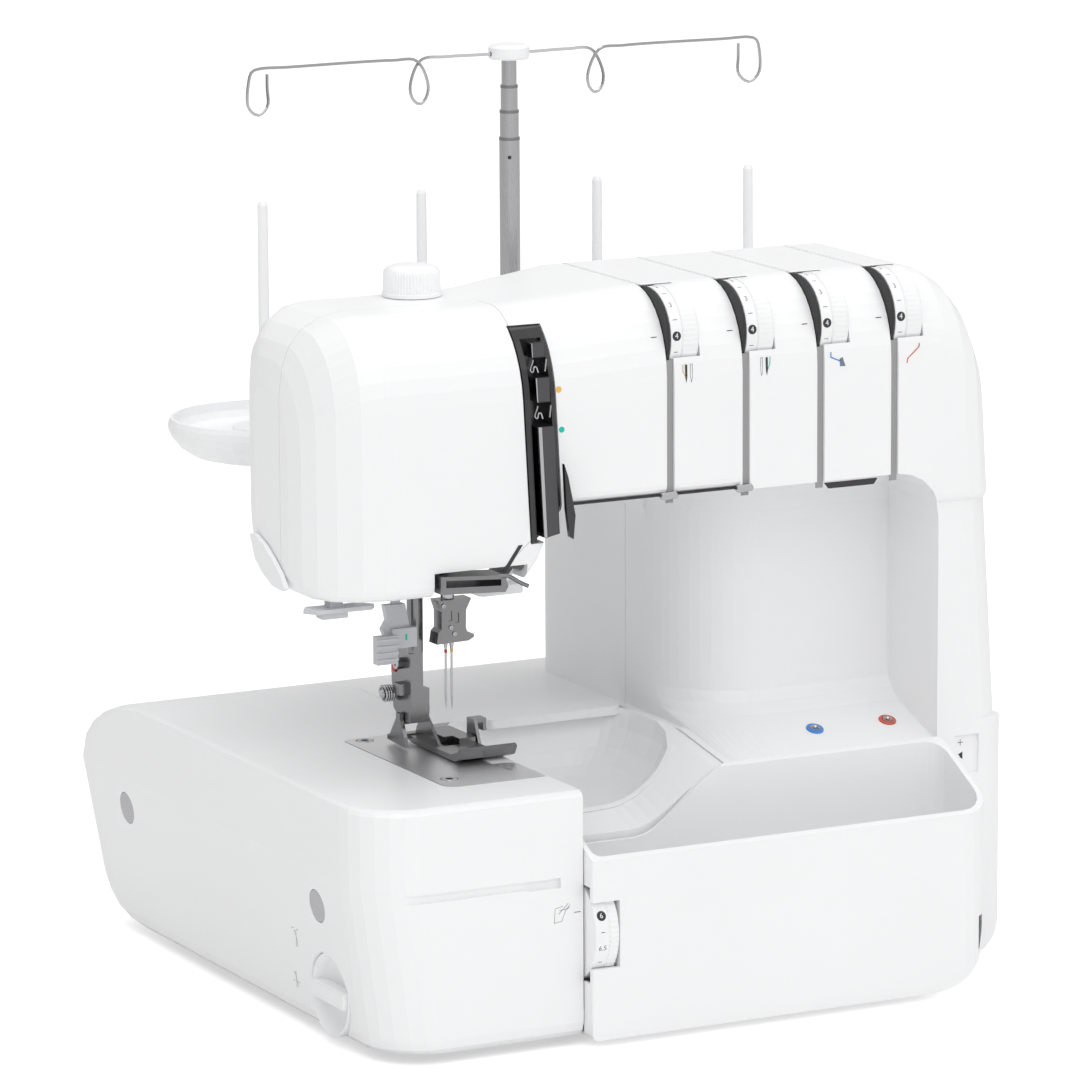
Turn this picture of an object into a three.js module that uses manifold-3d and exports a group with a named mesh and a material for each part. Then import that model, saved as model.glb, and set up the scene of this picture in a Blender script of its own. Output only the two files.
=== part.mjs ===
// A domestic overlock machine (serger): two needles, four threads, a free arm, a looper cover with a
// waste bin, and a telescopic thread stand. Millimetres; +X is to the machine's right, +Y to its back, +Z up.
// The sub-parts are placed from three datums: the free arm's left face (X 0), its front face (Y 0) and
// the table (Z 0). The finished machine is then centred over its own origin.
import * as THREE from "three";
import { mergeVertices } from "three/addons/utils/BufferGeometryUtils.js";
import Module from "manifold-3d";

const wasm = await Module();
wasm.setup();

// ---------------------------------------------------------------- driving dimensions

const WALL = 2.6; // moulded shells
const GAP = 0.35; // between neighbouring pieces
const HUGE = 600; // reach of a cutter that passes right through

const BASE = {
  bottom: 3,
  top: 114,
  right: 346.5,
  rear: 315,
  rearTop: 234, // where the flat top begins to roll down to the back
  bandLow: 79, // the sides are upright above this height and lean inward below it
  lean: 10,
  topEdge: 3,
  bottomEdge: 8,
  cornerRight: 18, // the upright edge at the right of the front
  cornerLow: 28, // the right side's lower edge
};
const COLUMN = { left: 203, front: 40, rear: 236, shoulder: 222, sideLean: 0.06, sideLeanFrom: 60 };
const ARM = {
  bottom: 232,
  join: 215,
  front: 38,
  rear: 152,
  right: 336.3,
  topLeft: 318.5,
  topRight: 322,
  brow: [30, 38], // half-axes of the rounded front top edge, to the back and upward
};
const HEAD = {
  right: 96,
  bottom: 197,
  rear: 130,
  face: 82,
  endTop: 30, // radii of the rounded left end
  endFront: 36,
  endRear: 22,
  endBottom: 8,
};
const RECESS = {
  right: 306,
  back: 85,
  low: 106,
  high: 231.4,
  cornerRight: 22,
  shelfRise: 12,
  leftRound: 40, // radius with which its back wall turns into the column's left wall
};
const PARTING_Y = 146; // front mouldings end here and the rear moulding begins
const SEAM_X = 104.3; // right side of the free arm
const BIN = {
  left: 104.8,
  right: 307.5,
  front: -8,
  rear: 39.5,
  bottom: 3.5,
  lip: 84, // height of the front lip, from which the rim rises to the back
  rise: 0.52,
  floor: 38,
  corner: 14,
  wall: 2.4,
};
const DIAL_BAY = { right: 118.2, high: 77 }; // the looper cover's left end, clear of the cutting-width dial
const HINGE = { y: -2, z: 12, radius: 2.4 }; // the looper cover's rod
const CHUTE = {
  left: 104.9,
  right: 197,
  front: 44,
  rear: 140,
  rimRear: 117, // height of the rim at the back, from which it falls to the front
  rimFall: 0.34,
  depth: 36,
  wall: 2,
  skirt: 66,
};
const CHUTE_RISE_PLACES = [150, 155, 160, 165, 170, 175, 180, 185, 190, 194]; // along X, where the deck rises
const NEEDLE = { y: 99, left: 87.2, right: 90.1, tip: 133, clampLow: 163.4, clampHigh: 183 };
const PRESSER = { x: 76, y: 106, radius: 3.65 };
const FOOT_PIN = { y: 113, z: 128 }; // the cross pin on which the foot tips
const PLATE = { left: 55.4, right: 103.2, front: 33, rear: 139, step: 64, inner: 93, low: 112.3, high: 114.2 };
const DIAL = {
  count: 4,
  firstX: 175.9,
  pitch: 37.8,
  radius: 20.4, // of the part that carries the numbers
  rim: 21.1, // of the ribbed part
  width: 14.2,
  y: 59.3,
  z: 300.9,
  room: 21.9,
};
const STAND = {
  x: 175.3,
  y: 206,
  pinInner: 45.2, // distances of the pins from the pole
  pinOuter: 124.8,
  pinTop: 350,
  trayLow: 232,
  trayRim: 252,
  trayRadius: 44,
};
const POLE = {
  radii: [4.75, 4.4, 3.95, 3.5],
  tops: [371, 383.5, 395, 406.5],
  length: 140,
  foot: 232.6,
  lastBore: 2.6,
};
const GUIDE = {
  z: 409.5,
  capRadius: 9.4,
  capLow: 406.9,
  capHigh: 413.6,
  wire: 0.75,
  loopWidth: 10,
  loopDrop: 21,
};
const SHAFT = { y: 140, z: 75, radius: 6 };
const WHEEL = { radius: 32, left: 348.2, right: 366 };
const MOTOR = { x0: 232, x1: 290, y: 196, z: 44, radius: 25 };
const PULLEY = { x0: 296, x1: 306, shaft: 24, motor: 8, belt: 1.6 };
const SIDE_KNOB = { y: 52, z: 23, radius: 18, x: 6.2 };
const STITCH_DIAL = { y: 92, z: 60, radius: 9.5 };
const WIDTH_DIAL = { left: 105.2, right: 117, y: 13, z: 50.5, radius: 23.5 };

// ---------------------------------------------------------------- materials

const plastic = (color, roughness = 0.42) =>
  new THREE.MeshStandardMaterial({ color, roughness, metalness: 0 });
const metal = (color, roughness = 0.3) => new THREE.MeshStandardMaterial({ color, roughness, metalness: 1 });
const WHITE = plastic(0xf0f1f3);
const LIGHT_GREY = plastic(0xd9dadd);
const DARK = plastic(0x2b2b2e, 0.2);
const RED = plastic(0xd8352c);
const RUBBER = plastic(0x3a3a3c, 0.85);
const STEEL = metal(0x9c9c9e, 0.38);
const PLATE_STEEL = metal(0x77787a, 0.45);
const CHROME = metal(0xd8d9dc, 0.12);
const CASTING = metal(0x8d9196, 0.6);
const MOTOR_BLACK = plastic(0x44464a, 0.5);
const DIFFUSER = plastic(0xe6e8ea, 0.2);

// ---------------------------------------------------------------- solids

/** A closed three.js geometry as a solid whose faces point out. */
function solidFrom(geometry) {
  const bare = geometry.index ? geometry.toNonIndexed() : geometry.clone();
  bare.deleteAttribute("normal");
  bare.deleteAttribute("uv");
  const merged = mergeVertices(bare, 1e-4);
  const triVerts = new Uint32Array(merged.index.array);
  const make = () =>
    new wasm.Manifold(
      new wasm.Mesh({ numProp: 3, vertProperties: merged.attributes.position.array, triVerts }),
    );
  const solid = make();
  if (solid.volume() >= 0) return solid;
  for (let i = 0; i < triVerts.length; i += 3) {
    const first = triVerts[i];
    triVerts[i] = triVerts[i + 1];
    triVerts[i + 1] = first;
  }
  return make();
}

const unite = (...solids) => solids.reduce((all, next) => all.add(next));
const cut = (solid, ...tools) => tools.reduce((left, tool) => left.subtract(tool), solid);

function block(x0, x1, y0, y1, z0, z1) {
  const box = new THREE.BoxGeometry(x1 - x0, y1 - y0, z1 - z0);
  return solidFrom(box.translate((x0 + x1) / 2, (y0 + y1) / 2, (z0 + z1) / 2));
}

/** A polygon pushed along an axis. Its points are [y, z] for x, [x, z] for y and [x, y] for z. */
function prism(points, axis, from, to) {
  const shape = new THREE.Shape(points.map(([a, b]) => new THREE.Vector2(a, b)));
  const geometry = new THREE.ExtrudeGeometry(shape, { depth: to - from, bevelEnabled: false, steps: 1 });
  const place = new THREE.Matrix4();
  if (axis === "x") place.set(0, 0, 1, from, 1, 0, 0, 0, 0, 1, 0, 0, 0, 0, 0, 1);
  if (axis === "y") place.set(1, 0, 0, 0, 0, 0, -1, to, 0, 1, 0, 0, 0, 0, 0, 1);
  if (axis === "z") place.makeTranslation(0, 0, from);
  return solidFrom(geometry.applyMatrix4(place));
}

/** Points round an arc, in degrees. */
function arc(a, b, radiusA, from, to, steps, radiusB = radiusA) {
  return Array.from({ length: steps + 1 }, (_, i) => {
    const angle = ((from + ((to - from) * i) / steps) * Math.PI) / 180;
    return [a + radiusA * Math.cos(angle), b + radiusB * Math.sin(angle)];
  });
}

/** A rectangle with its own radius at each corner, in the order low-low, high-low, high-high, low-high. */
function rounded(a0, a1, b0, b1, radii, steps = 5) {
  const [ll, hl, hh, lh] = Array.isArray(radii) ? radii : [radii, radii, radii, radii];
  return [
    ...arc(a0 + ll, b0 + ll, ll, 180, 270, steps),
    ...arc(a1 - hl, b0 + hl, hl, 270, 360, steps),
    ...arc(a1 - hh, b1 - hh, hh, 0, 90, steps),
    ...arc(a0 + lh, b1 - lh, lh, 90, 180, steps),
  ];
}

/** A closed skin over rings of equal length, with flat ends. Each ring is a list of [x, y, z] points. */
function loft(rings) {
  const size = rings[0].length;
  const positions = rings.flat(2);
  const index = [];
  const last = rings.length - 1;
  for (let r = 0; r < last; r++) {
    for (let i = 0; i < size; i++) {
      const j = (i + 1) % size;
      const [a, b, c, d] = [r * size + i, r * size + j, (r + 1) * size + j, (r + 1) * size + i];
      index.push(a, b, c, a, c, d);
    }
  }
  for (let i = 1; i < size - 1; i++) {
    index.push(0, i + 1, i);
    index.push(last * size, last * size + i, last * size + i + 1);
  }
  const geometry = new THREE.BufferGeometry();
  geometry.setAttribute("position", new THREE.Float32BufferAttribute(positions, 3));
  geometry.setIndex(index);
  return solidFrom(geometry);
}

const ringAtZ = (outline, z) => outline.map(([x, y]) => [x, y, z]);
const ringAtX = (outline, x) => outline.map(([y, z]) => [x, y, z]);

/** A turned piece: [radius, height] points about an axis through the centre. */
function turned(profile, axis, centre, segments = 24) {
  const points = profile.map(([r, h]) => new THREE.Vector2(r, h));
  const geometry = new THREE.LatheGeometry(points, segments);
  if (axis === "x") geometry.rotateZ(-Math.PI / 2);
  if (axis === "z") geometry.rotateX(Math.PI / 2);
  return solidFrom(geometry.translate(...centre));
}

/** A solid disc or ring about an axis, from one place on it to another. */
function disc(axis, centre, from, to, radius, segments = 24) {
  return turned([[0, from], [radius, from], [radius, to], [0, to]], axis, centre, segments);
}

function ring(axis, centre, from, to, radius, bore, segments = 24) {
  const profile = [[bore, from], [radius, from], [radius, to], [bore, to], [bore, from]];
  return turned(profile, axis, centre, segments);
}

/** A round rod between two points. */
function rod(start, end, radius, segments = 16, endRadius = radius) {
  const a = new THREE.Vector3(...start);
  const b = new THREE.Vector3(...end);
  const span = b.clone().sub(a);
  const geometry = new THREE.CylinderGeometry(endRadius, radius, span.length(), segments);
  const turn = new THREE.Quaternion().setFromUnitVectors(new THREE.Vector3(0, 1, 0), span.clone().normalize());
  geometry.applyQuaternion(turn);
  return solidFrom(geometry.translate(...a.add(b).multiplyScalar(0.5).toArray()));
}

/** Round wire bent along a smooth run of points. */
function bentWire(points, radius, steps, sides = 6) {
  const curve = new THREE.CatmullRomCurve3(points.map((p) => new THREE.Vector3(...p)), false, "centripetal");
  const outline = arc(0, 0, radius, 0, 360 - 360 / sides, sides - 1);
  const section = new THREE.Shape(outline.map(([a, b]) => new THREE.Vector2(a, b)));
  return solidFrom(new THREE.ExtrudeGeometry(section, { steps, bevelEnabled: false, extrudePath: curve }));
}

const machine = new THREE.Group();

/** Adds a solid to the machine as a named sub-part. */
function addPart(name, solid, material) {
  const { vertProperties, triVerts, numProp } = solid.getMesh();
  const positions = new Float32Array(triVerts.length * 3);
  triVerts.forEach((vertex, i) => {
    positions.set(vertProperties.subarray(vertex * numProp, vertex * numProp + 3), i * 3);
  });
  const geometry = new THREE.BufferGeometry();
  geometry.setAttribute("position", new THREE.BufferAttribute(positions, 3));
  geometry.computeVertexNormals();
  const mesh = new THREE.Mesh(geometry, material);
  mesh.name = name;
  machine.add(mesh);
}

// ---------------------------------------------------------------- housing envelope

/** How far a quarter round of a given radius draws in at a distance from its outer end. */
const drawIn = (radius, distance) =>
  distance >= radius ? 0 : radius - Math.sqrt(Math.max(0, radius * radius - (radius - distance) ** 2));

/** The rear edge of the base at a height: rolled at its top and bottom and leaning forward between. */
function baseRear(z) {
  const topRoll = BASE.rear - BASE.rearTop;
  const topHeight = BASE.top - BASE.bandLow;
  if (z >= BASE.bandLow) {
    const up = (z - BASE.bandLow) / topHeight;
    return BASE.rearTop + topRoll * Math.sqrt(Math.max(0, 1 - up ** 2));
  }
  const leaning = BASE.rear - (BASE.lean * (BASE.bandLow - z)) / (BASE.bandLow - BASE.bottom);
  const bottomHeight = 22;
  const bottomRoll = 46;
  const above = z - BASE.bottom;
  if (above >= bottomHeight) return leaning;
  return leaning - bottomRoll * (1 - Math.sqrt(Math.max(0, 1 - ((bottomHeight - above) / bottomHeight) ** 2)));
}

function baseOutline(z, inset) {
  const probe = Math.min(z + inset, BASE.top);
  const lean = (BASE.lean * Math.max(0, BASE.bandLow - probe)) / (BASE.bandLow - BASE.bottom);
  const edge = drawIn(BASE.topEdge, BASE.top - probe) + drawIn(BASE.bottomEdge, probe - BASE.bottom);
  const left = lean + edge + inset;
  const right = BASE.right - edge - inset;
  const front = edge + inset;
  return rounded(left, right, front, baseRear(probe) - inset, [26, 12, 26, 12], 6);
}

function baseBody(inset) {
  const heights = [3, 4.5, 7, 11, 17, 25, 50, 79, 90, 98, 104, 108.5, 111.4, 113, 114];
  const inside = heights.slice(1).filter((z) => z < BASE.top - inset);
  const levels = inset ? [1, ...inside, BASE.top - inset] : heights;
  return loft(levels.map((z) => ringAtZ(baseOutline(z, inset), z)));
}

const columnRight = (z) => BASE.right - Math.max(0, z - COLUMN.sideLeanFrom) * COLUMN.sideLean;

function columnBody(inset) {
  const bottom = inset ? 96 : 100;
  const top = COLUMN.shoulder - inset;
  return loft(
    [bottom, 160, top - 8, top - 2.5, top].map((z) => {
      const edge = drawIn(8, top - z);
      const outline = rounded(
        COLUMN.left + inset, columnRight(z) - inset, COLUMN.front + inset, COLUMN.rear - inset - edge,
        [10, BASE.cornerRight - inset, 18, 12], 5,
      );
      return ringAtZ(outline, z);
    }),
  );
}

/**
 * The arm and the head as sections along X. The head hangs lower, the left end is rounded, and past the
 * column's wall the section deepens to run into the column.
 */
function armBody(inset) {
  const stations = [
    0, 1.5, 5, 11, 20, 30, 36, 94, 103, 111, 118, 160, 203, 207, 300, 311, 321, 328, 333, ARM.right,
  ];
  const [first, last] = [inset, ARM.right - inset];
  const kept = [first, ...stations.filter((x) => x > first + 0.3 && x < last - 0.3), last];
  return loft(kept.map((x) => armSection(x, inset, x - first, last - x)));
}

function armSection(x, inset, fromLeft, fromRight) {
  const { smoothstep, lerp } = THREE.MathUtils;
  const rise = smoothstep(x, 94, 118);
  const back = smoothstep(x, 94, 160);
  const underside = lerp(lerp(HEAD.bottom, ARM.bottom, rise), ARM.join, smoothstep(x, 203, 207));
  const top = lerp(ARM.topLeft, ARM.topRight, back) - drawIn(HEAD.endTop, fromLeft) - drawIn(40, fromRight);
  const bottom = underside + drawIn(HEAD.endBottom, fromLeft);
  const front = ARM.front + drawIn(HEAD.endFront, fromLeft) + drawIn(15, fromRight);
  const rear = lerp(HEAD.rear, ARM.rear, back) - drawIn(HEAD.endRear, fromLeft) - drawIn(16, fromRight);
  const outline = armOutline(front + inset, rear - inset, bottom + inset, top - inset, lerp(30, 6, back));
  const lean = COLUMN.sideLean * smoothstep(x, 280, ARM.right);
  return outline.map(([y, z]) => [x - lean * (z - COLUMN.shoulder), y, z]);
}

/** One section of the arm: small edges below, and above the front a brow deeper than it is high. */
function armOutline(front, rear, bottom, top, rearLow) {
  const [browDeep, browHigh] = ARM.brow;
  const deep = Math.min(browDeep, (rear - front) * 0.55);
  const high = Math.min(browHigh, (top - bottom) * 0.45);
  const edge = Math.min(14, (rear - front) * 0.35);
  return [
    ...arc(front + 5, bottom + 5, 5, 180, 270, 4),
    ...arc(rear - rearLow * 0.8, bottom + rearLow, rearLow * 0.8, 270, 360, 5, rearLow),
    ...arc(rear - edge, top - edge, edge, 0, 90, 5),
    ...arc(front + deep, top - high, deep, 90, 180, 9, high),
  ];
}

/** The open space in front of the column, whose floor is the sloping shelf of the air-threading ports. */
function recessSpace(grow) {
  const { right, low, high, cornerRight, leftRound } = RECESS;
  const stations = [[right + grow, RECESS.back + grow]];
  for (let angle = 0; angle <= 90; angle += 7.5) {
    const turn = THREE.MathUtils.degToRad(angle);
    const reach = leftRound - grow;
    const x = COLUMN.left + leftRound - reach * Math.sin(turn);
    stations.push([x, RECESS.back + leftRound - reach * Math.cos(turn)]);
  }
  stations.push([COLUMN.left - 20, RECESS.back + leftRound]);
  const side = loft(stations.reverse().map(([x, back]) => ringAtX(recessOutline(back, grow), x)));
  const front = prism(
    rounded(COLUMN.left - 20, right + grow, low - 20, high + grow, [1, 1, cornerRight, 1]),
    "y", -50, RECESS.back + leftRound + 30,
  );
  return side.intersect(front);
}

/** The recess in section: the shelf with its rounded heel, the back wall and the rounded top. */
function recessOutline(back, grow) {
  const { low, high, shelfRise } = RECESS;
  const heel = low + shelfRise * 1.4 - grow;
  return [
    [-40, low - grow],
    [COLUMN.front, low - grow],
    [back - 10, heel - 3.6],
    [back - 4, heel + 1],
    [back - 0.8, heel + 6],
    [back, heel + 14],
    ...arc(back - 26 - grow, high - 26, 26 + grow, 0, 90, 7),
    [-40, high + grow],
  ];
}

/** The concave corner where the column's left wall meets the arm's underside. */
function throatFillet(inset) {
  const radius = 30;
  const [x, z] = [COLUMN.left - radius, ARM.bottom - radius];
  const nearest = RECESS.back + RECESS.leftRound + 2 + inset;
  const corner = block(x, COLUMN.left + 6, nearest, PARTING_Y - 1, z, ARM.bottom + 6);
  return cut(corner, disc("y", [x, 0, z], 0, 200, radius + inset, 44));
}

/** What lies outside the base's rounded right side: its upright front edge and the edge along its foot. */
function rightSideCorners(inset) {
  const { right, bottom, cornerRight, cornerLow } = BASE;
  const upright = cut(
    block(right - cornerRight, HUGE, -HUGE, COLUMN.front + cornerRight, -20, BASE.top + 4),
    disc("z", [right - cornerRight, COLUMN.front + cornerRight, 0], -30, 130, cornerRight - inset, 48),
  );
  const along = cut(
    block(right - cornerLow, HUGE, -HUGE, HUGE, -20, bottom + cornerLow),
    disc("y", [right - cornerLow, 0, bottom + cornerLow], -HUGE, HUGE, cornerLow - inset, 48),
  );
  return unite(upright, along);
}

function housing() {
  const body = (inset) => unite(baseBody(inset), columnBody(inset), armBody(inset), throatFillet(inset));
  const outer = cut(body(0), recessSpace(0), rightSideCorners(0));
  const inner = cut(body(WALL), recessSpace(WALL), rightSideCorners(WALL));
  const looperBay = block(SEAM_X, HUGE, -HUGE, COLUMN.front, -HUGE, 180);
  const chuteBay = block(SEAM_X, CHUTE.right + 2, -HUGE, PARTING_Y + 4, 60, 180);
  const bulkhead = block(CHUTE.right + 2, HUGE, -HUGE, COLUMN.front + WALL, -HUGE, BASE.top + 4);
  const chuteWall = block(CHUTE.right + 2, CHUTE.right + 2 + WALL, -HUGE, 128, 60, BASE.top + 4);
  return cut(outer, cut(inner, bulkhead, chuteWall), looperBay, chuteBay);
}

/** Everything to the left of the free arm's curved seam. */
function freeArmRegion(offset) {
  const s = SEAM_X - offset;
  return prism(
    [
      [-HUGE, -HUGE], [s, -HUGE], [s, 150], [s + 4.5, 204], [s + 5, 233], [s - 3.5, 247], [s - 6, HUGE],
      [-HUGE, HUGE],
    ],
    "z", -20, BASE.top + 20,
  );
}

/** The slanting channel of the thread guard, which parts the face cover from the front cover. */
function guardChannel(margin) {
  const outline = [
    [94.5 - margin, 311 + margin],
    [99.5 - margin, 217 - margin],
    [115 + margin, 217 - margin],
    [110 + margin, 311 + margin],
  ];
  return prism(outline, "y", ARM.front - 20, ARM.front + 16);
}

/** The face cover's side of its joint lines. */
function faceRegion(offset) {
  const edge = HEAD.right + 4 - offset;
  return prism(
    [
      [-HUGE, 120], [84 - offset, 120], [84 - offset, 206], [edge, 219], [edge - 5, 311], [edge - 5, HUGE],
      [-HUGE, HUGE],
    ],
    "y", -HUGE, HEAD.face - offset,
  );
}

// ---------------------------------------------------------------- housing pieces

function buildHousing() {
  const shell = housing();
  const upper = block(-HUGE, HUGE, -HUGE, HUGE, 180, HUGE);
  const plateHole = prism(plateOutline(GAP), "z", 100, 120);
  const knifeSlot = block(98.5, HUGE, 84, 112, 90, 120);
  const knob = [SIDE_KNOB.x, SIDE_KNOB.y, SIDE_KNOB.z];
  const armCuts = [
    plateHole,
    knifeSlot,
    block(1.5, 80, -1, 1.3, 72.6, 76.5),
    block(78, 93.5, -1, 1.9, 72, 76.5),
    disc("x", knob, -8, 8, SIDE_KNOB.radius + 1),
    plugPocket(54, 63),
    plugPocket(259, 64),
  ];
  const freeArm = cut(shell.intersect(freeArmRegion(0)), ...armCuts, upper);
  addPart("free_arm_cover", largest(freeArm), WHITE);

  const faceShell = shell.intersect(upper).intersect(faceRegion(0));
  addPart("face_cover", largest(cut(faceShell, guardChannel(GAP), underHeadOpening(), guideNotch())), WHITE);

  const rearOfParting = block(-HUGE, HUGE, PARTING_Y + GAP, HUGE, -HUGE, HUGE);
  const rest = cut(shell, freeArmRegion(-GAP));
  const inletHole = block(BASE.right - 20, HUGE, 196, 226, 58, 82);
  const switchHole = block(BASE.right - 20, HUGE, 160, 180, 58, 82);
  const poleHole = disc("z", [STAND.x, STAND.y, 0], 180, 260, 7);
  const rear = cut(rest.intersect(rearOfParting), inletHole, switchHole, poleHole);
  addPart("rear_cover", largest(rear), WHITE);

  const frontCuts = [
    block(-HUGE, HUGE, PARTING_Y, HUGE, -HUGE, HUGE),
    faceRegion(-GAP).intersect(upper),
    guardChannel(GAP),
    underHeadOpening(),
    guideNotch(),
    disc("z", [PRESSER.x, PRESSER.y, 0], 300, 340, PRESSER.radius + 1),
    disc("x", [0, SHAFT.y, SHAFT.z], 330, 360, SHAFT.radius + 1),
    disc("x", [0, STITCH_DIAL.y, STITCH_DIAL.z], 330, 360, STITCH_DIAL.radius),
    block(315.5, 328, 30, COLUMN.front + 1.4, 89.5, 107.6),
    ...dialSlots(),
    ...portHoles(),
  ];
  addPart("front_cover", largest(cut(rest, ...frontCuts)), WHITE);
}

/** A round pocket square to the left side, which leans inward below the band. */
function plugPocket(y, z) {
  const slope = BASE.lean / (BASE.bandLow - BASE.bottom);
  const x = slope * (BASE.bandLow - z);
  return rod([x - 3, y, z - 3 * slope], [x + 1.3, y, z + 1.3 * slope], 7.6, 24);
}

/** The biggest body of a solid: slivers left by crossing cutters are dropped. */
function largest(solid) {
  return solid.decompose().reduce((best, next) => (next.volume() > best.volume() ? next : best));
}

/** Where the presser bar, the needle bar and the threader come out of the head. */
function underHeadOpening() {
  return block(54, 106, 70, 122, 180, 215);
}

function guideNotch() {
  return block(52.5, 97.5, 30, 52, 190, 208);
}

/** Room for each tension dial, and the thread groove that runs over the top and down the front. */
function dialSlots() {
  return dialCentres().flatMap((x) => {
    const left = x - DIAL.width / 2 - 2.3;
    return [
      disc("x", [0, DIAL.y, DIAL.z], left, x + DIAL.width / 2 + 0.6, DIAL.room, 48),
      block(left, left + 3.8, 20, ARM.front + 1.6, ARM.bottom - 4, DIAL.z - 8),
      block(left, left + 2, DIAL.y, 144, ARM.topRight - 1.4, HUGE),
    ];
  });
}

const dialCentres = () => Array.from({ length: DIAL.count }, (_, i) => DIAL.firstX + i * DIAL.pitch);

function portHoles() {
  return [253.8, 291.6].map((x) => rod([x, 57, 121], [x, 64.8, 100], 2.2, 16));
}

function buildBase() {
  const pan = prism(rounded(24, 316, 44, 238, [6, 14, 22, 22]), "z", 3, 6);
  const underArm = prism(rounded(24, 100, 14, 60, [20, 4, 4, 4]), "z", 3, 6);
  const rim = cut(
    prism(rounded(28, 312, 48, 232, 16), "z", 5.8, 14),
    prism(rounded(31, 309, 51, 229, 14), "z", 5.9, 20),
  );
  addPart("base_tray", unite(pan, underArm, rim), LIGHT_GREY);
  const corners = {
    front_left: [48, 36],
    front_right: [304, 58],
    rear_right: [304, 214],
    rear_left: [48, 214],
  };
  for (const [place, [x, y]] of Object.entries(corners)) {
    const pad = [[0, 0], [8, 0], [9, 1], [9, 2.7], [0, 2.7]];
    addPart(`foot_${place}`, turned(pad, "z", [x, y, 0], 20), RUBBER);
  }
}

/** The casting that carries both bars at the head, the main shaft and the motor. */
function buildFrame() {
  const bed = block(112, 336, 118, 128, 22, 60);
  const web = block(214, 226, 118, 226, 22, 60);
  const post = block(214, 332, 118, 132, 20, 218);
  const neck = block(244, 325, 110, 132, 210, 296);
  const beam = block(64, 325, 110, 124, 262, 296);
  const barBearings = [block(64, 98, 92, 124, 262, 276), block(64, 98, 92, 124, 286, 296)];
  const bores = [
    disc("z", [PRESSER.x, PRESSER.y, 0], 200, 310, PRESSER.radius + 0.3, 20),
    disc("z", [(NEEDLE.left + NEEDLE.right) / 2, NEEDLE.y, 0], 200, 310, 3.4, 20),
    disc("x", [0, SHAFT.y, SHAFT.z], 100, 340, SHAFT.radius + 0.3, 20),
  ];
  const shaftBearings = [block(214, 226, 126, 152, 62, 90), block(314, 326, 126, 152, 62, 90)];
  const wheelRoom = disc("x", [0, SHAFT.y, SHAFT.z], PULLEY.x0 - 2, PULLEY.x1 + 2, PULLEY.shaft + 4, 24);
  const motorRoom = disc("x", [0, MOTOR.y, MOTOR.z], 208, 320, MOTOR.radius + 2, 24);
  const blank = unite(bed, web, post, neck, beam, ...barBearings, ...shaftBearings);
  addPart("machine_frame", largest(cut(blank, ...bores, wheelRoom, motorRoom)), CASTING);
}

function buildDrive() {
  const journal = rod([150, SHAFT.y, SHAFT.z], [WHEEL.left + 6, SHAFT.y, SHAFT.z], SHAFT.radius, 20);
  const pulley = ring("x", [0, SHAFT.y, SHAFT.z], PULLEY.x0, PULLEY.x1, PULLEY.shaft, SHAFT.radius - 1, 28);
  addPart("main_shaft", unite(journal, pulley), STEEL);

  const wheelProfile = [
    [SHAFT.radius + 0.3, 0], [20, 0], [WHEEL.radius - 2, 2], [WHEEL.radius, 5], [WHEEL.radius, 13],
    [WHEEL.radius - 3, WHEEL.right - WHEEL.left], [20, WHEEL.right - WHEEL.left], [15, 12], [0, 12], [0, 6.4],
    [SHAFT.radius + 0.3, 6.4], [SHAFT.radius + 0.3, 0],
  ];
  const wheel = turned(wheelProfile, "x", [WHEEL.left, SHAFT.y, SHAFT.z], 36);
  addPart("handwheel", wheel, WHITE);

  const can = disc("x", [0, MOTOR.y, MOTOR.z], MOTOR.x0, MOTOR.x1, MOTOR.radius, 28);
  const mount = block(MOTOR.x0 + 6, MOTOR.x1 - 6, MOTOR.y - 18, MOTOR.y + 18, 6.4, MOTOR.z);
  const spindleBore = disc("x", [0, MOTOR.y, MOTOR.z], MOTOR.x1 - 8, MOTOR.x1 + 4, 3);
  addPart("motor", cut(unite(can, mount), spindleBore), MOTOR_BLACK);
  const spindle = rod([MOTOR.x1 - 6, MOTOR.y, MOTOR.z], [PULLEY.x1 + 2, MOTOR.y, MOTOR.z], 2.6, 14);
  const smallPulley = disc("x", [0, MOTOR.y, MOTOR.z], PULLEY.x0, PULLEY.x1, PULLEY.motor, 20);
  addPart("motor_pulley", unite(spindle, smallPulley), STEEL);
  addPart("drive_belt", beltLoop(), RUBBER);
}

/** The toothed belt: a band round both pulleys, with straight runs between them. */
function beltLoop() {
  const dy = MOTOR.y - SHAFT.y;
  const dz = MOTOR.z - SHAFT.z;
  const span = Math.hypot(dy, dz);
  const line = (Math.atan2(dz, dy) * 180) / Math.PI;
  const outline = (extra) => {
    const big = PULLEY.shaft + GAP + extra;
    const small = PULLEY.motor + GAP + extra;
    const lean = (Math.acos((big - small) / span) * 180) / Math.PI;
    return [
      ...arc(SHAFT.y, SHAFT.z, big, line + lean, line + 360 - lean, 18),
      ...arc(MOTOR.y, MOTOR.z, small, line - lean, line + lean, 10),
    ];
  };
  return cut(
    prism(outline(PULLEY.belt), "x", PULLEY.x0 + 1, PULLEY.x1 - 1),
    prism(outline(0), "x", PULLEY.x0, PULLEY.x1),
  );
}

// ---------------------------------------------------------------- looper area

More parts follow.
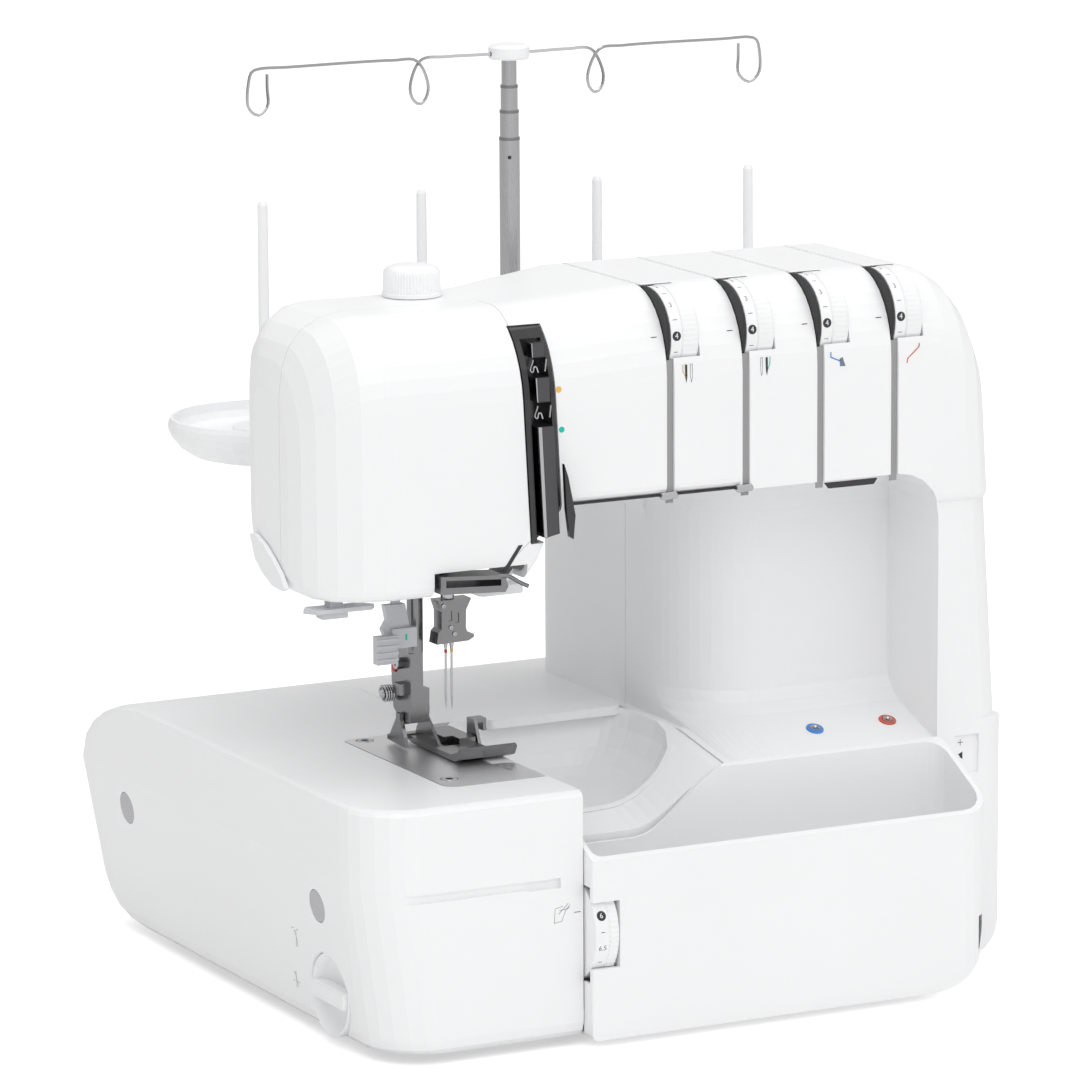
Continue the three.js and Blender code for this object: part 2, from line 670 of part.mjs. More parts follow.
/**
 * The hinged front cover with its waste bin. It turns forward about the rod along its lower edge, so what
 * lies behind and below the bin is left open for the mechanism it swings past.
 */
function buildLooperCover() {
  const { left, right, front, rear, bottom, lip, rise, floor, corner, wall } = BIN;
  const high = lip + rise * (rear - front);
  const plan = prism(rounded(left, right, front, rear, [0.8, corner, 3, 3]), "z", bottom, high + 2);
  const face = (inset) => prism(
    rounded(left + inset, right - inset, bottom + inset, 140, [3, 30 - inset, 1, 1], 7), "y", -60, HUGE,
  );
  const slope = prism([[-40, -40], [80, -40], [80, lip + rise * 88], [-40, lip - rise * 32]], "x", 60, 340);
  const binPlan = rounded(left + wall, right - wall, front + wall, rear - wall, [4, corner - 2, 8, 8]);
  const binFace = rounded(left + wall, right - wall, floor, 200, [6, 26, 1, 1], 6);
  const bin = prism(binPlan, "z", floor, 200).intersect(prism(binFace, "y", -40, 80));
  const behind = block(left + wall, HUGE, front + wall, HUGE, -10, floor - wall).intersect(face(wall));
  const dialHousing = block(left - 1, DIAL_BAY.right + wall, front - 1, rear + 1, 24, DIAL_BAY.high + wall);
  const hollows = cut(unite(bin, behind), dialHousing);
  const rearRelief = block(left - 1, HUGE, 26, HUGE, -10, 13);
  const chuteRim = [...CHUTE_RISE_PLACES, 198].map((x) => [x, 80 + (high - 80) * deckRise(x)]);
  const chuteRelief = prism([[left - 20, 80], ...chuteRim, [198, 200], [left - 20, 200]], "y", 22, 60);
  const envelope = plan.intersect(face(0)).intersect(slope);
  const shell = cut(envelope, hollows, rearRelief, chuteRelief, dialBay(), dialWindow());
  const lugs = [150, 262].map((x) => hingeLug(x));
  addPart("looper_cover", largest(unite(shell, ...lugs)), WHITE);
  addPart("looper_cover_rod", rod([140, HINGE.y, HINGE.z], [276, HINGE.y, HINGE.z], HINGE.radius, 14), STEEL);
}

function hingeLug(x) {
  const { y, z, radius } = HINGE;
  const web = block(x, x + 6, BIN.front + 2, y, z - 3.5, z + 3.5);
  const eye = disc("x", [x, y, z], 0, 6, radius + 2.4, 16);
  return cut(unite(web, eye), disc("x", [x, y, z], -1, 7, radius + 0.4, 16));
}

/**
 * Where the cutting-width dial stands in the cover's left end: open to the back, and to the left too beside
 * the dial. Above and below the dial a narrow end wall stays, as far back as the free arm's front.
 */
function dialBay() {
  const { right, high } = DIAL_BAY;
  const inside = BIN.left + 1.4;
  const open = WIDTH_DIAL.radius - 2;
  const upper = block(inside, right, BIN.front + 2.6, HUGE, BIN.bottom + 2.4, high);
  const lower = block(BIN.left - 5, right, 12, HUGE, -10, high);
  const beside = block(
    BIN.left - 5, right, BIN.front + 2.6, HUGE, WIDTH_DIAL.z - open, WIDTH_DIAL.z + open,
  );
  const behindArm = block(BIN.left - 5, inside + 1, 0.6, HUGE, BIN.bottom + 2.4, high);
  return unite(upper, lower, beside, behindArm);
}

function dialWindow() {
  return block(BIN.left - 5, DIAL_BAY.right, -20, 10, WIDTH_DIAL.z - 15, WIDTH_DIAL.z + 15);
}

function buildWidthDial() {
  const { left, right, y, z, radius } = WIDTH_DIAL;
  const wheel = disc("x", [0, y, z], left, right, radius, 32);
  const grips = Array.from({ length: 24 }, (_, i) => {
    const angle = (i * Math.PI) / 12;
    const place = [right - 4, y + radius * Math.cos(angle), z + radius * Math.sin(angle)];
    return disc("x", place, 0, 5, 0.7, 6);
  });
  addPart("cutting_width_dial", cut(wheel, ...grips), WHITE);
}

/** How far, from 0 to 1, the deck round the bowl has risen to the column's shelf at a place along X. */
function deckRise(x) {
  return THREE.MathUtils.smoothstep(x, 150, CHUTE.right + 1);
}

/** The deck falls to the front beside the free arm and meets the column's shelf on its right. */
function deckHeight(x, y) {
  const beside = CHUTE.rimRear - CHUTE.rimFall * (CHUTE.rear - y);
  const slope = (RECESS.shelfRise * 1.4 - 3.6) / (RECESS.back + RECESS.leftRound - 10 - COLUMN.front);
  const shelf = Math.min(RECESS.low + slope * (y - COLUMN.front), CHUTE.rimRear - 1);
  return THREE.MathUtils.lerp(beside, shelf, deckRise(x));
}

/**
 * The bowl to the right of the needle plate that leads the trimmings down to the bin. It is sunk in a sloping
 * deck, whose skirt closes the front towards the bin.
 */
function buildChute() {
  const { left, right, front, rear, rimRear, depth, wall, skirt } = CHUTE;
  const [deckRight, deckFront, deckRear] = [right + 1.6, COLUMN.front + 1.4, 130];
  const levels = [0, 0.35, 0.6, 0.8, 0.93, 1];
  const bowl = (inset) =>
    loft(
      levels.map((t) => {
        const z = rimRear + 2 - t * (depth - inset);
        const pull = 30 * (1 - Math.sqrt(1 - t * t)) + inset;
        const drawn = pull * 0.6;
        const corners = [
          Math.max(6, 14 - pull * 0.2), Math.max(18, 58 - pull), Math.max(8, 18 - pull * 0.2), 8,
        ];
        return ringAtZ(rounded(left + drawn, right - pull, front + pull, rear - drawn, corners, 6), z);
      }),
    );
  const depths = [-20, COLUMN.front, 60, 75, 100, rear, rear + 20];
  const below = (lift) => loft(
    [60, ...CHUTE_RISE_PLACES, deckRight, 260].map((x) => {
      const top = depths.map((y) => [y, deckHeight(x, y) + lift]);
      return ringAtX([[rear + 20, -60], ...top.reverse(), [-20, -60]], x);
    }),
  );
  const deck = cut(
    block(left, deckRight, deckFront, deckRear, skirt, 130).intersect(below(-0.6)),
    block(left - 4, deckRight - wall, deckFront + wall, deckRear - wall, skirt - 2, 130).intersect(
      below(-0.6 - wall),
    ),
  );
  const shell = cut(unite(deck, bowl(0).intersect(below(0))), bowl(wall));
  const ledgePlan = rounded(left + 20, right - 4, rear - 11, rear + 5, [2, 6, 6, 2]);
  const ledge = prism(ledgePlan, "z", rimRear - 3.4, rimRear + 0.6);
  const filletPlan = rounded(left + 12, right - 4, rear - 10, rear, [2, 6, 2, 2]);
  const fillet = prism(filletPlan, "z", rimRear - 9, rimRear - 3);
  addPart("waste_chute", largest(unite(shell, ledge, cut(fillet, bowl(wall)))), WHITE);
}

function plateOutline(grow) {
  const { left, right, front, rear, step, inner } = PLATE;
  return [
    ...arc(left + 6, front + 6, 6 + grow, 180, 270, 5),
    [right + grow, front - grow],
    ...arc(right - 5, step - 5, 5 + grow, 0, 90, 5),
    [inner + grow, step + grow],
    [inner + grow, rear + grow],
    ...arc(left + 4, rear - 4, 4 + grow, 90, 180, 4),
  ];
}

function buildNeedlePlate() {
  const { left, right, low, high } = PLATE;
  const feedSlots = [block(80.2, 83, 74, 112, low - 1, high + 1), block(94, 96, 50, 60, low - 1, high + 1)];
  const needleSlot = block(85.2, 91.9, 96.5, 101.5, low - 1, high + 1);
  const screws = [[64, 133.5], [63.5, 47.5]];
  const screwBores = screws.map(([x, y]) => disc("z", [x, y, 0], low - 1, high + 1, 4.2, 16));
  const skirt = block(left + 4, right - 12, 36, 40, 108, low + 0.5);
  const blank = unite(prism(plateOutline(0), "z", low, high), skirt);
  addPart("needle_plate", cut(blank, ...feedSlots, needleSlot, ...screwBores), PLATE_STEEL);
}

/** The loopers, the knife and the feed dog, which work under and beside the needle plate. */
function buildLooperMechanism() {
  const dogTooth = (_, i) => block(80.6, 82.6, 76 + i * 3.6, 78 + i * 3.6, 110, 111.6);
  const dogTeeth = Array.from({ length: 9 }, dogTooth);
  const dogBar = block(80.6, 82.6, 75, 110, 104, 110.4);
  const dogFoot = block(74, 82.6, 88, 100, 98, 104.4);
  addPart("feed_dog", unite(dogBar, dogFoot, ...dogTeeth), STEEL);

  const lowerArm = unite(
    disc("y", [128, 0, 34], 84, 92, 6, 16),
    prism([[126, 36], [130, 36], [122, 74], [118, 74]], "y", 86, 90),
    prism([[118, 70], [122, 74], [98, 82], [97.4, 80.4]], "y", 87, 89.4),
  );
  addPart("lower_looper", lowerArm, CHROME);
  const upperArm = unite(
    disc("y", [158, 0, 34], 66, 74, 6, 16),
    prism([[155, 36], [160, 36], [136, 70], [132, 68]], "y", 68, 72),
    prism([[132, 64], [137, 69], [124, 82], [122.4, 81.2]], "y", 69, 71.4),
  );
  addPart("upper_looper", upperArm, CHROME);

  const blade = prism([[95, 115], [107, 115], [107, 125], [100, 126.5]], "x", 101.8, 103.3);
  const stem = block(101.8, 103.3, 96, 103, 84, 117);
  const hook = unite(block(101.8, 108.6, 101, 107, 124.4, 126.2), block(107, 108.6, 101, 107, 120.5, 126.2));
  const carrier = block(97, 104, 94, 105, 80, 90);
  addPart("upper_knife", unite(blade, stem, hook, carrier), STEEL);
  addPart("lower_knife", prism([[88, 100], [104, 100], [104, 113.8], [90, 113.8]], "x", 99.4, 101.2), STEEL);
}

// ---------------------------------------------------------------- sewing head

function buildNeedleBar() {
  const middle = (NEEDLE.left + NEEDLE.right) / 2;
  const { y, clampLow, clampHigh, tip } = NEEDLE;
  addPart("needle_bar", rod([middle, y, clampHigh + GAP], [middle, y, 306], 3.1, 16), CHROME);
  const waist = [
    [81.9, clampHigh], [83.6, 178], [83.6, 170], [82, 168.6], [81.2, clampLow], [96.8, clampLow + 0.4],
    [99.6, 165.2], [99.6, 166.6], [96.6, 167], [95.6, 170], [95.8, 178], [98.4, clampHigh],
  ];
  const windows = [block(87, 88.8, 90, 95, 173.5, 178), block(90.2, 92.2, 90, 95, 172.5, 177)];
  const needleBore = (x) => disc("z", [x, 98, 0], clampLow - 1, clampLow + 10.2, 1.3, 12);
  const bores = [needleBore(NEEDLE.left), needleBore(NEEDLE.right)];
  addPart("needle_clamp", cut(prism(waist, "y", 94.5, 102.5), ...windows, ...bores), STEEL);
  for (const [side, x, low] of [["left", NEEDLE.left, tip], ["right", NEEDLE.right, tip - 0.6]]) {
    const high = clampLow + 9.6;
    const blade = [
      [0, low], [0.45, low + 4], [0.55, low + 6], [0.55, low + 27.5], [1, low + 29.5], [1, high], [0, high],
    ];
    addPart(`needle_${side}`, turned(blade, "z", [x, 98, 0], 10), CHROME);
  }
}

function buildPresser() {
  const { x, y, radius } = PRESSER;
  addPart("presser_bar", rod([x, y, 158.6], [x, y, 314], radius, 20), CHROME);
  buildShank(x - 3.2);
  buildFoot();
  const leaf = [
    [109, 219], [104, 219.5], [95, 216.5], [86, 211.5], [78, 206], [73, 200.5], [76, 199], [86, 199.6],
    [97, 204], [104, 209],
  ];
  addPart("presser_lifter", prism(leaf, "x", -2.6, -0.5), WHITE);
}

/** The holder on the presser bar, with the button that lets the foot go and the screw that clamps it. */
function buildShank(left) {
  const right = left + 6.2;
  const { y, z } = FOOT_PIN;
  const side = [
    [104.2, 158.2], [124, 158.2], [124, 148], [122, 131], [115, 126.4], [111.5, 126.4], [104.2, 131],
  ];
  const plate = prism(side, "x", left, right);
  const heel = block(left, left + 9.2, 104.2, 109, 130.5, 142);
  const socket = rod([left - 0.01, y, z], [left + 9.4, y, z], 3.4, 14);
  const arm = block(left, left + 9.4, 105, y, 126.6, 131);
  const pivot = cut(unite(plate, heel, arm, socket), rod([left - 5, y, z], [left + 15.2, y, z], 1.5, 12));
  const hook = block(left - 3.4, left + 0.5, 108, 115, 139, 144);
  const screw = disc("x", [left, 113, 152.6], -2.6, 1, 2.6, 16);
  const buttonSlot = block(left - 1, left + 4.8, 118.2, 121.8, 147.4, 153);
  addPart("presser_shank", cut(unite(pivot, hook, screw), buttonSlot), STEEL);
  addPart("foot_release_button", block(left - 0.8, left + 2.2, 118.6, 121.4, 147.9, 152.5), RED);
}

/** The foot: a sole with a longer toe on its right, and two cheeks that carry the pin it tips on. */
function buildFoot() {
  const { y, z } = FOOT_PIN;
  const soleSide = [
    [69, 118.4], [72, 115.4], [76, 114.7], [116, 114.7], [125, 116.4], [125, 118.2], [110, 117.2],
    [78, 117.2], [71, 119.6],
  ];
  const toeSide = [
    [67.5, 120.4], [70, 116.2], [74, 114.7], [80, 114.7], [80, 117], [76, 117.2], [72, 118.6], [69.4, 121.4],
  ];
  const rightCheek = [[96, 115], [122, 116], [120, 121], [115.5, 127.6], [110.5, 127.6], [100, 119]];
  const leftCheek = [[106, 115.4], [124, 116.2], [120, 121], [115.5, 127], [110.5, 127], [107, 120]];
  const ears = [70.6, 83.2].map((ear) => block(ear, ear + 1.7, y - 2.1, y + 2.1, z - 3, z + 2));
  const foot = unite(
    prism(soleSide, "x", 79.4, 100.6),
    prism(toeSide, "x", 79.4, 107),
    prism(rightCheek, "x", 83.2, 84.9),
    prism(leftCheek, "x", 70.6, 72.3),
    block(70.6, 84.9, 119.6, 124, 116.2, 118.4),
    rod([70.8, y, z], [84.8, y, z], 1.1, 10),
    ...ears,
    block(88, 100.6, 96, 122, 116.8, 119.4),
  );
  const needleHole = block(84.6, 92.6, 94.5, 102.5, 110, 121);
  addPart("presser_foot", cut(foot, needleHole), CHROME);
}

function buildThreader() {
  const bracketFace = [
    [57, 183], [67, 183], [69.4, 170.5], [66, 168.6], [57.4, 168.6], [56, 172], [58.4, 176],
  ];
  const bracket = prism(bracketFace, "y", 97, 101);
  const box = block(59.6, 71.6, 95, 100.4, 163.6, 172.4);
  const grip = block(51, 61, 92.4, 97, 157.4, 170);
  const ridges = Array.from({ length: 4 }, (_, i) => block(50.6, 61, 91.6, 93, 158.8 + i * 3, 160 + i * 3));
  const stem = block(61, 65, 98, 100, 182, 210);
  addPart("needle_threader", unite(bracket, box, grip, stem, ...ridges), LIGHT_GREY);
}

function buildHeadTrim() {
  const channelFrame = cut(
    prism([[95, 310.6], [99.9, 217.4], [114.6, 217.4], [109.6, 310.6]], "y", ARM.front - 1.2, ARM.front + 15),
    prism([[98, 306], [102.6, 214], [113, 214], [108, 306]], "y", ARM.front - 5, ARM.front + 9),
  );
  const blocks = [
    prism([[100.6, 305], [107.4, 305], [107, 298.4], [101, 298.4]], "y", ARM.front + 1, ARM.front + 10),
    prism([[101.4, 290], [108, 290], [108.4, 279], [102.2, 279]], "y", ARM.front - 1.5, ARM.front + 10),
    prism([[101.4, 268.8], [109, 268.8], [111.4, 221], [104.4, 219.6]], "y", ARM.front - 4, ARM.front + 10),
  ];
  addPart("thread_guard", unite(channelFrame.intersect(armBody(0)), ...blocks), DARK);
  const lever = [[112.2, 252], [114.2, 246], [117.6, 229], [116.6, 218.4], [114.8, 219.6], [113.2, 232]];
  addPart("take_up_lever", prism(lever, "y", 31, 33.2), CHROME);

  const channel = cut(
    prism([[54, 207], [85, 205], [86.5, 200], [85, 197.6], [54, 199.2]], "y", 34.6, 49),
    prism([[56.4, 205.2], [83, 203.4], [83, 200.6], [56.4, 202]], "y", 33, 47),
  );
  const hook = [[80, 36, 204.2], [86, 34, 204.6], [91, 32.5, 201.6], [94.6, 31.4, 199.8]];
  addPart("thread_guide", unite(channel, bentWire(hook, 0.9, 10)), CHROME);
  addPart("lamp_lens", prism(rounded(82, 104, 53, 66, 3), "z", 192.2, 196.4), DIFFUSER);
  const cutter = unite(
    prism([[0, 60], [4, 55], [30, 54], [33, 58], [28, 64], [4, 66]], "z", 191.6, 193.4),
    block(8, 20, 57, 64, 188.6, 192),
    block(12, 18, 58, 64, 193, 196.4),
  );
  addPart("thread_cutter", cutter, LIGHT_GREY);
}

function buildKnobsAndDials() {
  const knob = [[0, 0], [13.2, 0], [13.2, 1.6], [12.6, 2.4], [12.6, 11.2], [10.6, 13.2], [0, 13.8]];
  addPart("pressure_knob", turned(knob, "z", [PRESSER.x, PRESSER.y, ARM.topLeft + 0.3], 40), WHITE);

  const { radius, rim, width, y, z } = DIAL;
  const [left, right] = [-width / 2, width / 2];
  const drum = [
    [0, left], [radius - 1, left], [radius, left + 0.8], [radius, left + 5.2], [rim, left + 5.8],
    [rim, right - 0.8], [radius, right], [0, right],
  ];
  dialCentres().forEach((x, i) => addPart(`tension_dial_${i + 1}`, turned(drum, "x", [x, y, z], 36), WHITE));

  const knobRadius = SIDE_KNOB.radius;
  const dish = [
    [0, 1.5], [knobRadius - 5, 1.5], [knobRadius - 2, 0], [knobRadius, -1], [knobRadius, 7], [0, 7],
  ];
  const face = turned(dish, "x", [SIDE_KNOB.x - 1, SIDE_KNOB.y, SIDE_KNOB.z], 32);
  const grip = block(
    SIDE_KNOB.x - 6, SIDE_KNOB.x + 1.5, SIDE_KNOB.y - knobRadius + 3, SIDE_KNOB.y + knobRadius - 3,
    SIDE_KNOB.z - 2.6, SIDE_KNOB.z + 2.6,
  );
  addPart("rolled_hem_knob", unite(face, grip), WHITE);
  const stitch = [[0, -13], [5, -13], [5, 0], [15, 0], [15, 5], [12, 8], [0, 8]];
  const stitchCentre = [BASE.right + GAP + 0.3, STITCH_DIAL.y, STITCH_DIAL.z];
  addPart("stitch_length_dial", turned(stitch, "x", stitchCentre, 28), LIGHT_GREY);
}

// ---------------------------------------------------------------- thread stand

function buildStand() {
  const { x, y, pinOuter, pinTop, trayLow, trayRim, trayRadius } = STAND;
  const dish = (inset, z) => {
    const halfLength = pinOuter + trayRadius - inset;
    const halfWidth = trayRadius - inset;
    const outline = rounded(
      x - halfLength, x + halfLength, y - halfWidth, y + halfWidth, halfWidth - 0.01, 8,
    );
    return ringAtZ(outline, z);
  };
  const outer = loft([
    dish(29, trayLow),
    dish(20, trayLow + 0.8),
    dish(11, trayLow + 3),
    dish(5, trayLow + 7),
    dish(1.4, trayLow + 11.5),
    dish(0, trayLow + 15),
    dish(0, trayRim - 2),
    dish(0.8, trayRim),
  ]);
  const hollow = loft([
    dish(10, trayRim - 8),
    dish(4.4, trayRim - 7),
    dish(2.4, trayRim - 4),
    dish(2.4, trayRim + 2),
  ]);
  const under = loft([
    dish(32, trayLow - 3),
    dish(28, trayLow + 3),
    dish(20, trayLow + 7),
    dish(16, trayRim - 11),
  ]);
  const pads = pinPlaces().map((px) => disc("z", [px, y, 0], trayRim - 9, trayRim - 4.4, 15, 24));
  const socket = disc("z", [x, y, 0], trayLow + 0.4, trayRim - 5, 9, 20);
  const pedestal = block(226, 322, 185, 227, COLUMN.shoulder + GAP, trayLow + 2.3);
  const bores = [
    ...pinPlaces().map((px) => disc("z", [px, y, 0], trayRim - 10, trayRim, 2.9, 14)),
    disc("z", [x, y, 0], trayLow - 10, trayRim + 5, POLE.radii[0] + 0.3, 20),
  ];
  addPart("spool_tray", cut(unite(cut(outer, hollow, under), ...pads, socket, pedestal), ...bores), WHITE);
  const pin = [
    [0, trayRim - 8.4], [2.6, trayRim - 8.4], [2.6, trayRim + 20], [2.3, pinTop - 2], [1.6, pinTop - 0.4],
    [0, pinTop],
  ];
  pinPlaces().forEach((px, i) => addPart(`spool_pin_${i + 1}`, turned(pin, "z", [px, y, 0], 16), WHITE));
  buildPole();
  buildThreadGuideBar();
}

function pinPlaces() {
  const { x, pinInner, pinOuter } = STAND;
  return [x - pinOuter, x - pinInner, x + pinInner, x + pinOuter];
}

/** Four tubes, each sliding in the one below it. */
function buildPole() {
  const { x, y } = STAND;
  const { radii, tops, length, foot, lastBore } = POLE;
  radii.forEach((radius, i) => {
    const bore = i + 1 < radii.length ? radii[i + 1] + 0.25 : lastBore;
    const low = i === 0 ? foot : tops[i] - length;
    addPart(`pole_tube_${i + 1}`, ring("z", [x, y, 0], low, tops[i], radius, bore, 20), STEEL);
  });
}

/** The long guide wire: a loop turned back at each end and a crossed eye over each inner spool. */
function guideWirePath() {
  const { x, y, pinInner, pinOuter } = STAND;
  const { z, loopWidth, loopDrop } = GUIDE;
  const half = loopWidth / 2;
  const end = (sign) => {
    const at = x + sign * (pinOuter + 1);
    return [
      [at - sign * half, y + 2, z - 2.8],
      [at - sign * half, y + 2, z - 9],
      [at - sign * half, y + 1.7, z - loopDrop + 4],
      [at, y + 1, z - loopDrop],
      [at + sign * half, y + 0.4, z - loopDrop + 4],
      [at + sign * half, y, z - 6],
      [at + sign * (half - 1.6), y, z - 1.2],
      [at + sign * (half - 5), y, z],
    ];
  };
  const eye = (sign) => {
    const at = x + sign * pinInner;
    return [
      [at + sign * 14, y, z],
      [at + sign * 1.6, y, z - 1],
      [at - sign * 4.2, y + 0.5, z - 12],
      [at - sign * 3.4, y + 0.8, z - loopDrop + 3],
      [at, y + 1, z - loopDrop],
      [at + sign * 3.4, y + 1.3, z - loopDrop + 3],
      [at + sign * 4.2, y + 1.6, z - 12],
      [at - sign * 1.6, y + 2.2, z - 1],
      [at - sign * 14, y + 1, z],
    ];
  };
  return [
    ...end(-1),
    [x - pinOuter + 14, y, z],
    ...eye(-1),
    [x - 14, y, z],
    [x, y, z],
    [x + 14, y, z],
    ...eye(1).reverse(),
    [x + pinOuter - 14, y, z],
    ...end(1).reverse(),
  ];
}

function buildThreadGuideBar() {
  const { x, y } = STAND;
  const { capRadius, capLow, capHigh, wire } = GUIDE;
  const capProfile = [
    [0, capLow], [capRadius - 0.6, capLow], [capRadius, capLow + 0.8], [capRadius, capHigh - 1.4],
    [capRadius - 1.6, capHigh], [0, capHigh],
  ];
  const cap = turned(capProfile, "z", [x, y, 0], 28);
  const tunnel = rod([x - 20, y, GUIDE.z], [x + 20, y, GUIDE.z], wire + 0.4, 10);
  addPart("thread_guide_cap", cut(cap, tunnel), WHITE);
  addPart("thread_guide_wire", bentWire(guideWirePath(), wire, 230, 5), CHROME);
}

function buildInlet() {
  const right = BASE.right - 0.6;
  const shroud = block(right - 16, right, 196.4, 225.6, 58.4, 81.6);
  const inlet = cut(shroud, block(right - 12, right + 2, 200, 222, 61.6, 78.4));
  const pins = [205, 211, 217].map((y) => block(right - 13, right - 3, y - 0.8, y + 0.8, 68, 72));
  addPart("power_inlet", unite(inlet, ...pins), DARK);
  const rocker = prism([[160.6, 59], [179.4, 59], [179.4, 81], [160.6, 81]], "x", right - 10, right - 1);
  addPart("power_switch", rocker, DARK);
}

buildBase();
buildHousing();
buildFrame();
buildDrive();
buildLooperCover();
buildWidthDial();
buildChute();
buildNeedlePlate();
buildLooperMechanism();
buildNeedleBar();
buildPresser();
buildThreader();
buildHeadTrim();
buildKnobsAndDials();
buildStand();
buildInlet();

// The origin is the middle of the machine's footprint, on the table.
const group = new THREE.Group();
const bounds = new THREE.Box3().setFromObject(machine);
const centre = bounds.getCenter(new THREE.Vector3());
machine.position.set(-centre.x, -centre.y, -bounds.min.z);
group.add(machine);

export default group;
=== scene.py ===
"""The looks of a domestic overlock machine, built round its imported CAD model.

Places are given in millimetres from the machine's own datums: the free arm's left face (x 0), its front
face (y 0) and the table (z 0). at() turns them into the shared frame's metres.
"""

import math

import bmesh
import bpy
from mathutils import Matrix, Vector


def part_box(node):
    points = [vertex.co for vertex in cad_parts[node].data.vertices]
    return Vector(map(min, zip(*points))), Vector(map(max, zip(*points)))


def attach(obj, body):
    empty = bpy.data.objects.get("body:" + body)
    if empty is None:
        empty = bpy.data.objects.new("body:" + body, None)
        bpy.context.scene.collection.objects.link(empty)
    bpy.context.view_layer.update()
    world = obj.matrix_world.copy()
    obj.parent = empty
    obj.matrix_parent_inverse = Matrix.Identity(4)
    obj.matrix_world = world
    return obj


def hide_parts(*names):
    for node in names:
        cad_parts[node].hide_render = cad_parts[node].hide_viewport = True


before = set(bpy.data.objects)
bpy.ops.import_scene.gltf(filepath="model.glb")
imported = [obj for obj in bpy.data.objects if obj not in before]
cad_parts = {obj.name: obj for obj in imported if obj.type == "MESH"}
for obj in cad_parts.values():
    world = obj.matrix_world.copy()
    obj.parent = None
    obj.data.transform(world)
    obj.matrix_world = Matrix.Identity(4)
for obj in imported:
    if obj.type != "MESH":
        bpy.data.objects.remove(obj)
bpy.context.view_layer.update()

MM = 0.001
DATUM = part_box("free_arm_cover")[0]


def at(x, y, z):
    return Vector((DATUM.x + x * MM, DATUM.y + y * MM, z * MM))


# ---------------------------------------------------------------- camera, light and floor

CAMERA_PLACE = (-1163.0, -2429.9, 756.9)
CAMERA_AZIMUTH = math.radians(27.17)
CAMERA_PITCH = math.radians(10.99)
CAMERA_ROLL = math.radians(-0.31)
CAMERA_LENS = 216.67

LIGHT_AIM = (170, 140, 150)
LIGHTS = {  # place, size in metres, and watts
    "fill": ((-1157, -2434, 2216), 2.6, 24),
    "key": ((1100, -1500, 1300), 1.2, 2),
    "top": ((100, 100, 1700), 1.8, 10),
}
STUDIO_AXIS = (0.55, -0.45, 0.7)  # the side of the studio that is brightest
STUDIO_DARK, STUDIO_BRIGHT = 0.43, 0.76
BACKDROP_SEEN = 1.02  # the studio's brightness where the camera sees it
FLOOR_GLOW, FLOOR_GLOW_SEEN = 0.06, 0.5  # the floor's own light, and what the camera sees of it


def make_camera():
    data = bpy.data.cameras.new("camera")
    data.lens = CAMERA_LENS
    data.sensor_width = 36
    data.clip_end = 20
    camera = bpy.data.objects.new("camera", data)
    bpy.context.scene.collection.objects.link(camera)
    azimuth, pitch = CAMERA_AZIMUTH, CAMERA_PITCH
    level = math.cos(pitch)
    forward = Vector((math.sin(azimuth) * level, math.cos(azimuth) * level, -math.sin(pitch)))
    right = Vector((math.cos(azimuth), -math.sin(azimuth), 0))
    up = right.cross(forward)
    c, s = math.cos(CAMERA_ROLL), math.sin(CAMERA_ROLL)
    right, up = c * right + s * up, c * up - s * right
    turn = Matrix((right, up, -forward)).transposed()
    camera.matrix_world = Matrix.Translation(at(*CAMERA_PLACE)) @ turn.to_4x4()
    bpy.context.scene.camera = camera


def area_light(name, place, size, power):
    data = bpy.data.lights.new(name, "AREA")
    data.size = size
    data.energy = power
    light = bpy.data.objects.new(name, data)
    bpy.context.scene.collection.objects.link(light)
    light.location = at(*place)
    light.rotation_euler = (at(*LIGHT_AIM) - light.location).to_track_quat("-Z", "Y").to_euler()


def make_world():
    """A pale studio all round, darker to the machine's left; the camera sees it as plain white."""
    world = bpy.data.worlds.new("studio")
    world.use_nodes = True
    tree = world.node_tree
    background = tree.nodes["Background"]
    place = tree.nodes.new("ShaderNodeTexCoord")
    along = tree.nodes.new("ShaderNodeVectorMath")
    along.operation = "DOT_PRODUCT"
    along.inputs[1].default_value = STUDIO_AXIS
    level = tree.nodes.new("ShaderNodeMapRange")
    level.inputs["From Min"].default_value = -1.0
    level.inputs["To Min"].default_value = STUDIO_DARK
    level.inputs["To Max"].default_value = STUDIO_BRIGHT
    sight = tree.nodes.new("ShaderNodeLightPath")
    mix = tree.nodes.new("ShaderNodeMix")
    mix.data_type = "FLOAT"
    mix.inputs["B"].default_value = BACKDROP_SEEN
    tree.links.new(place.outputs["Generated"], along.inputs[0])
    tree.links.new(along.outputs["Value"], level.inputs["Value"])
    tree.links.new(level.outputs["Result"], mix.inputs["A"])
    tree.links.new(sight.outputs["Is Camera Ray"], mix.inputs["Factor"])
    tree.links.new(mix.outputs["Result"], background.inputs["Strength"])
    background.inputs["Color"].default_value = (1, 1, 1, 1)
    bpy.context.scene.world = world


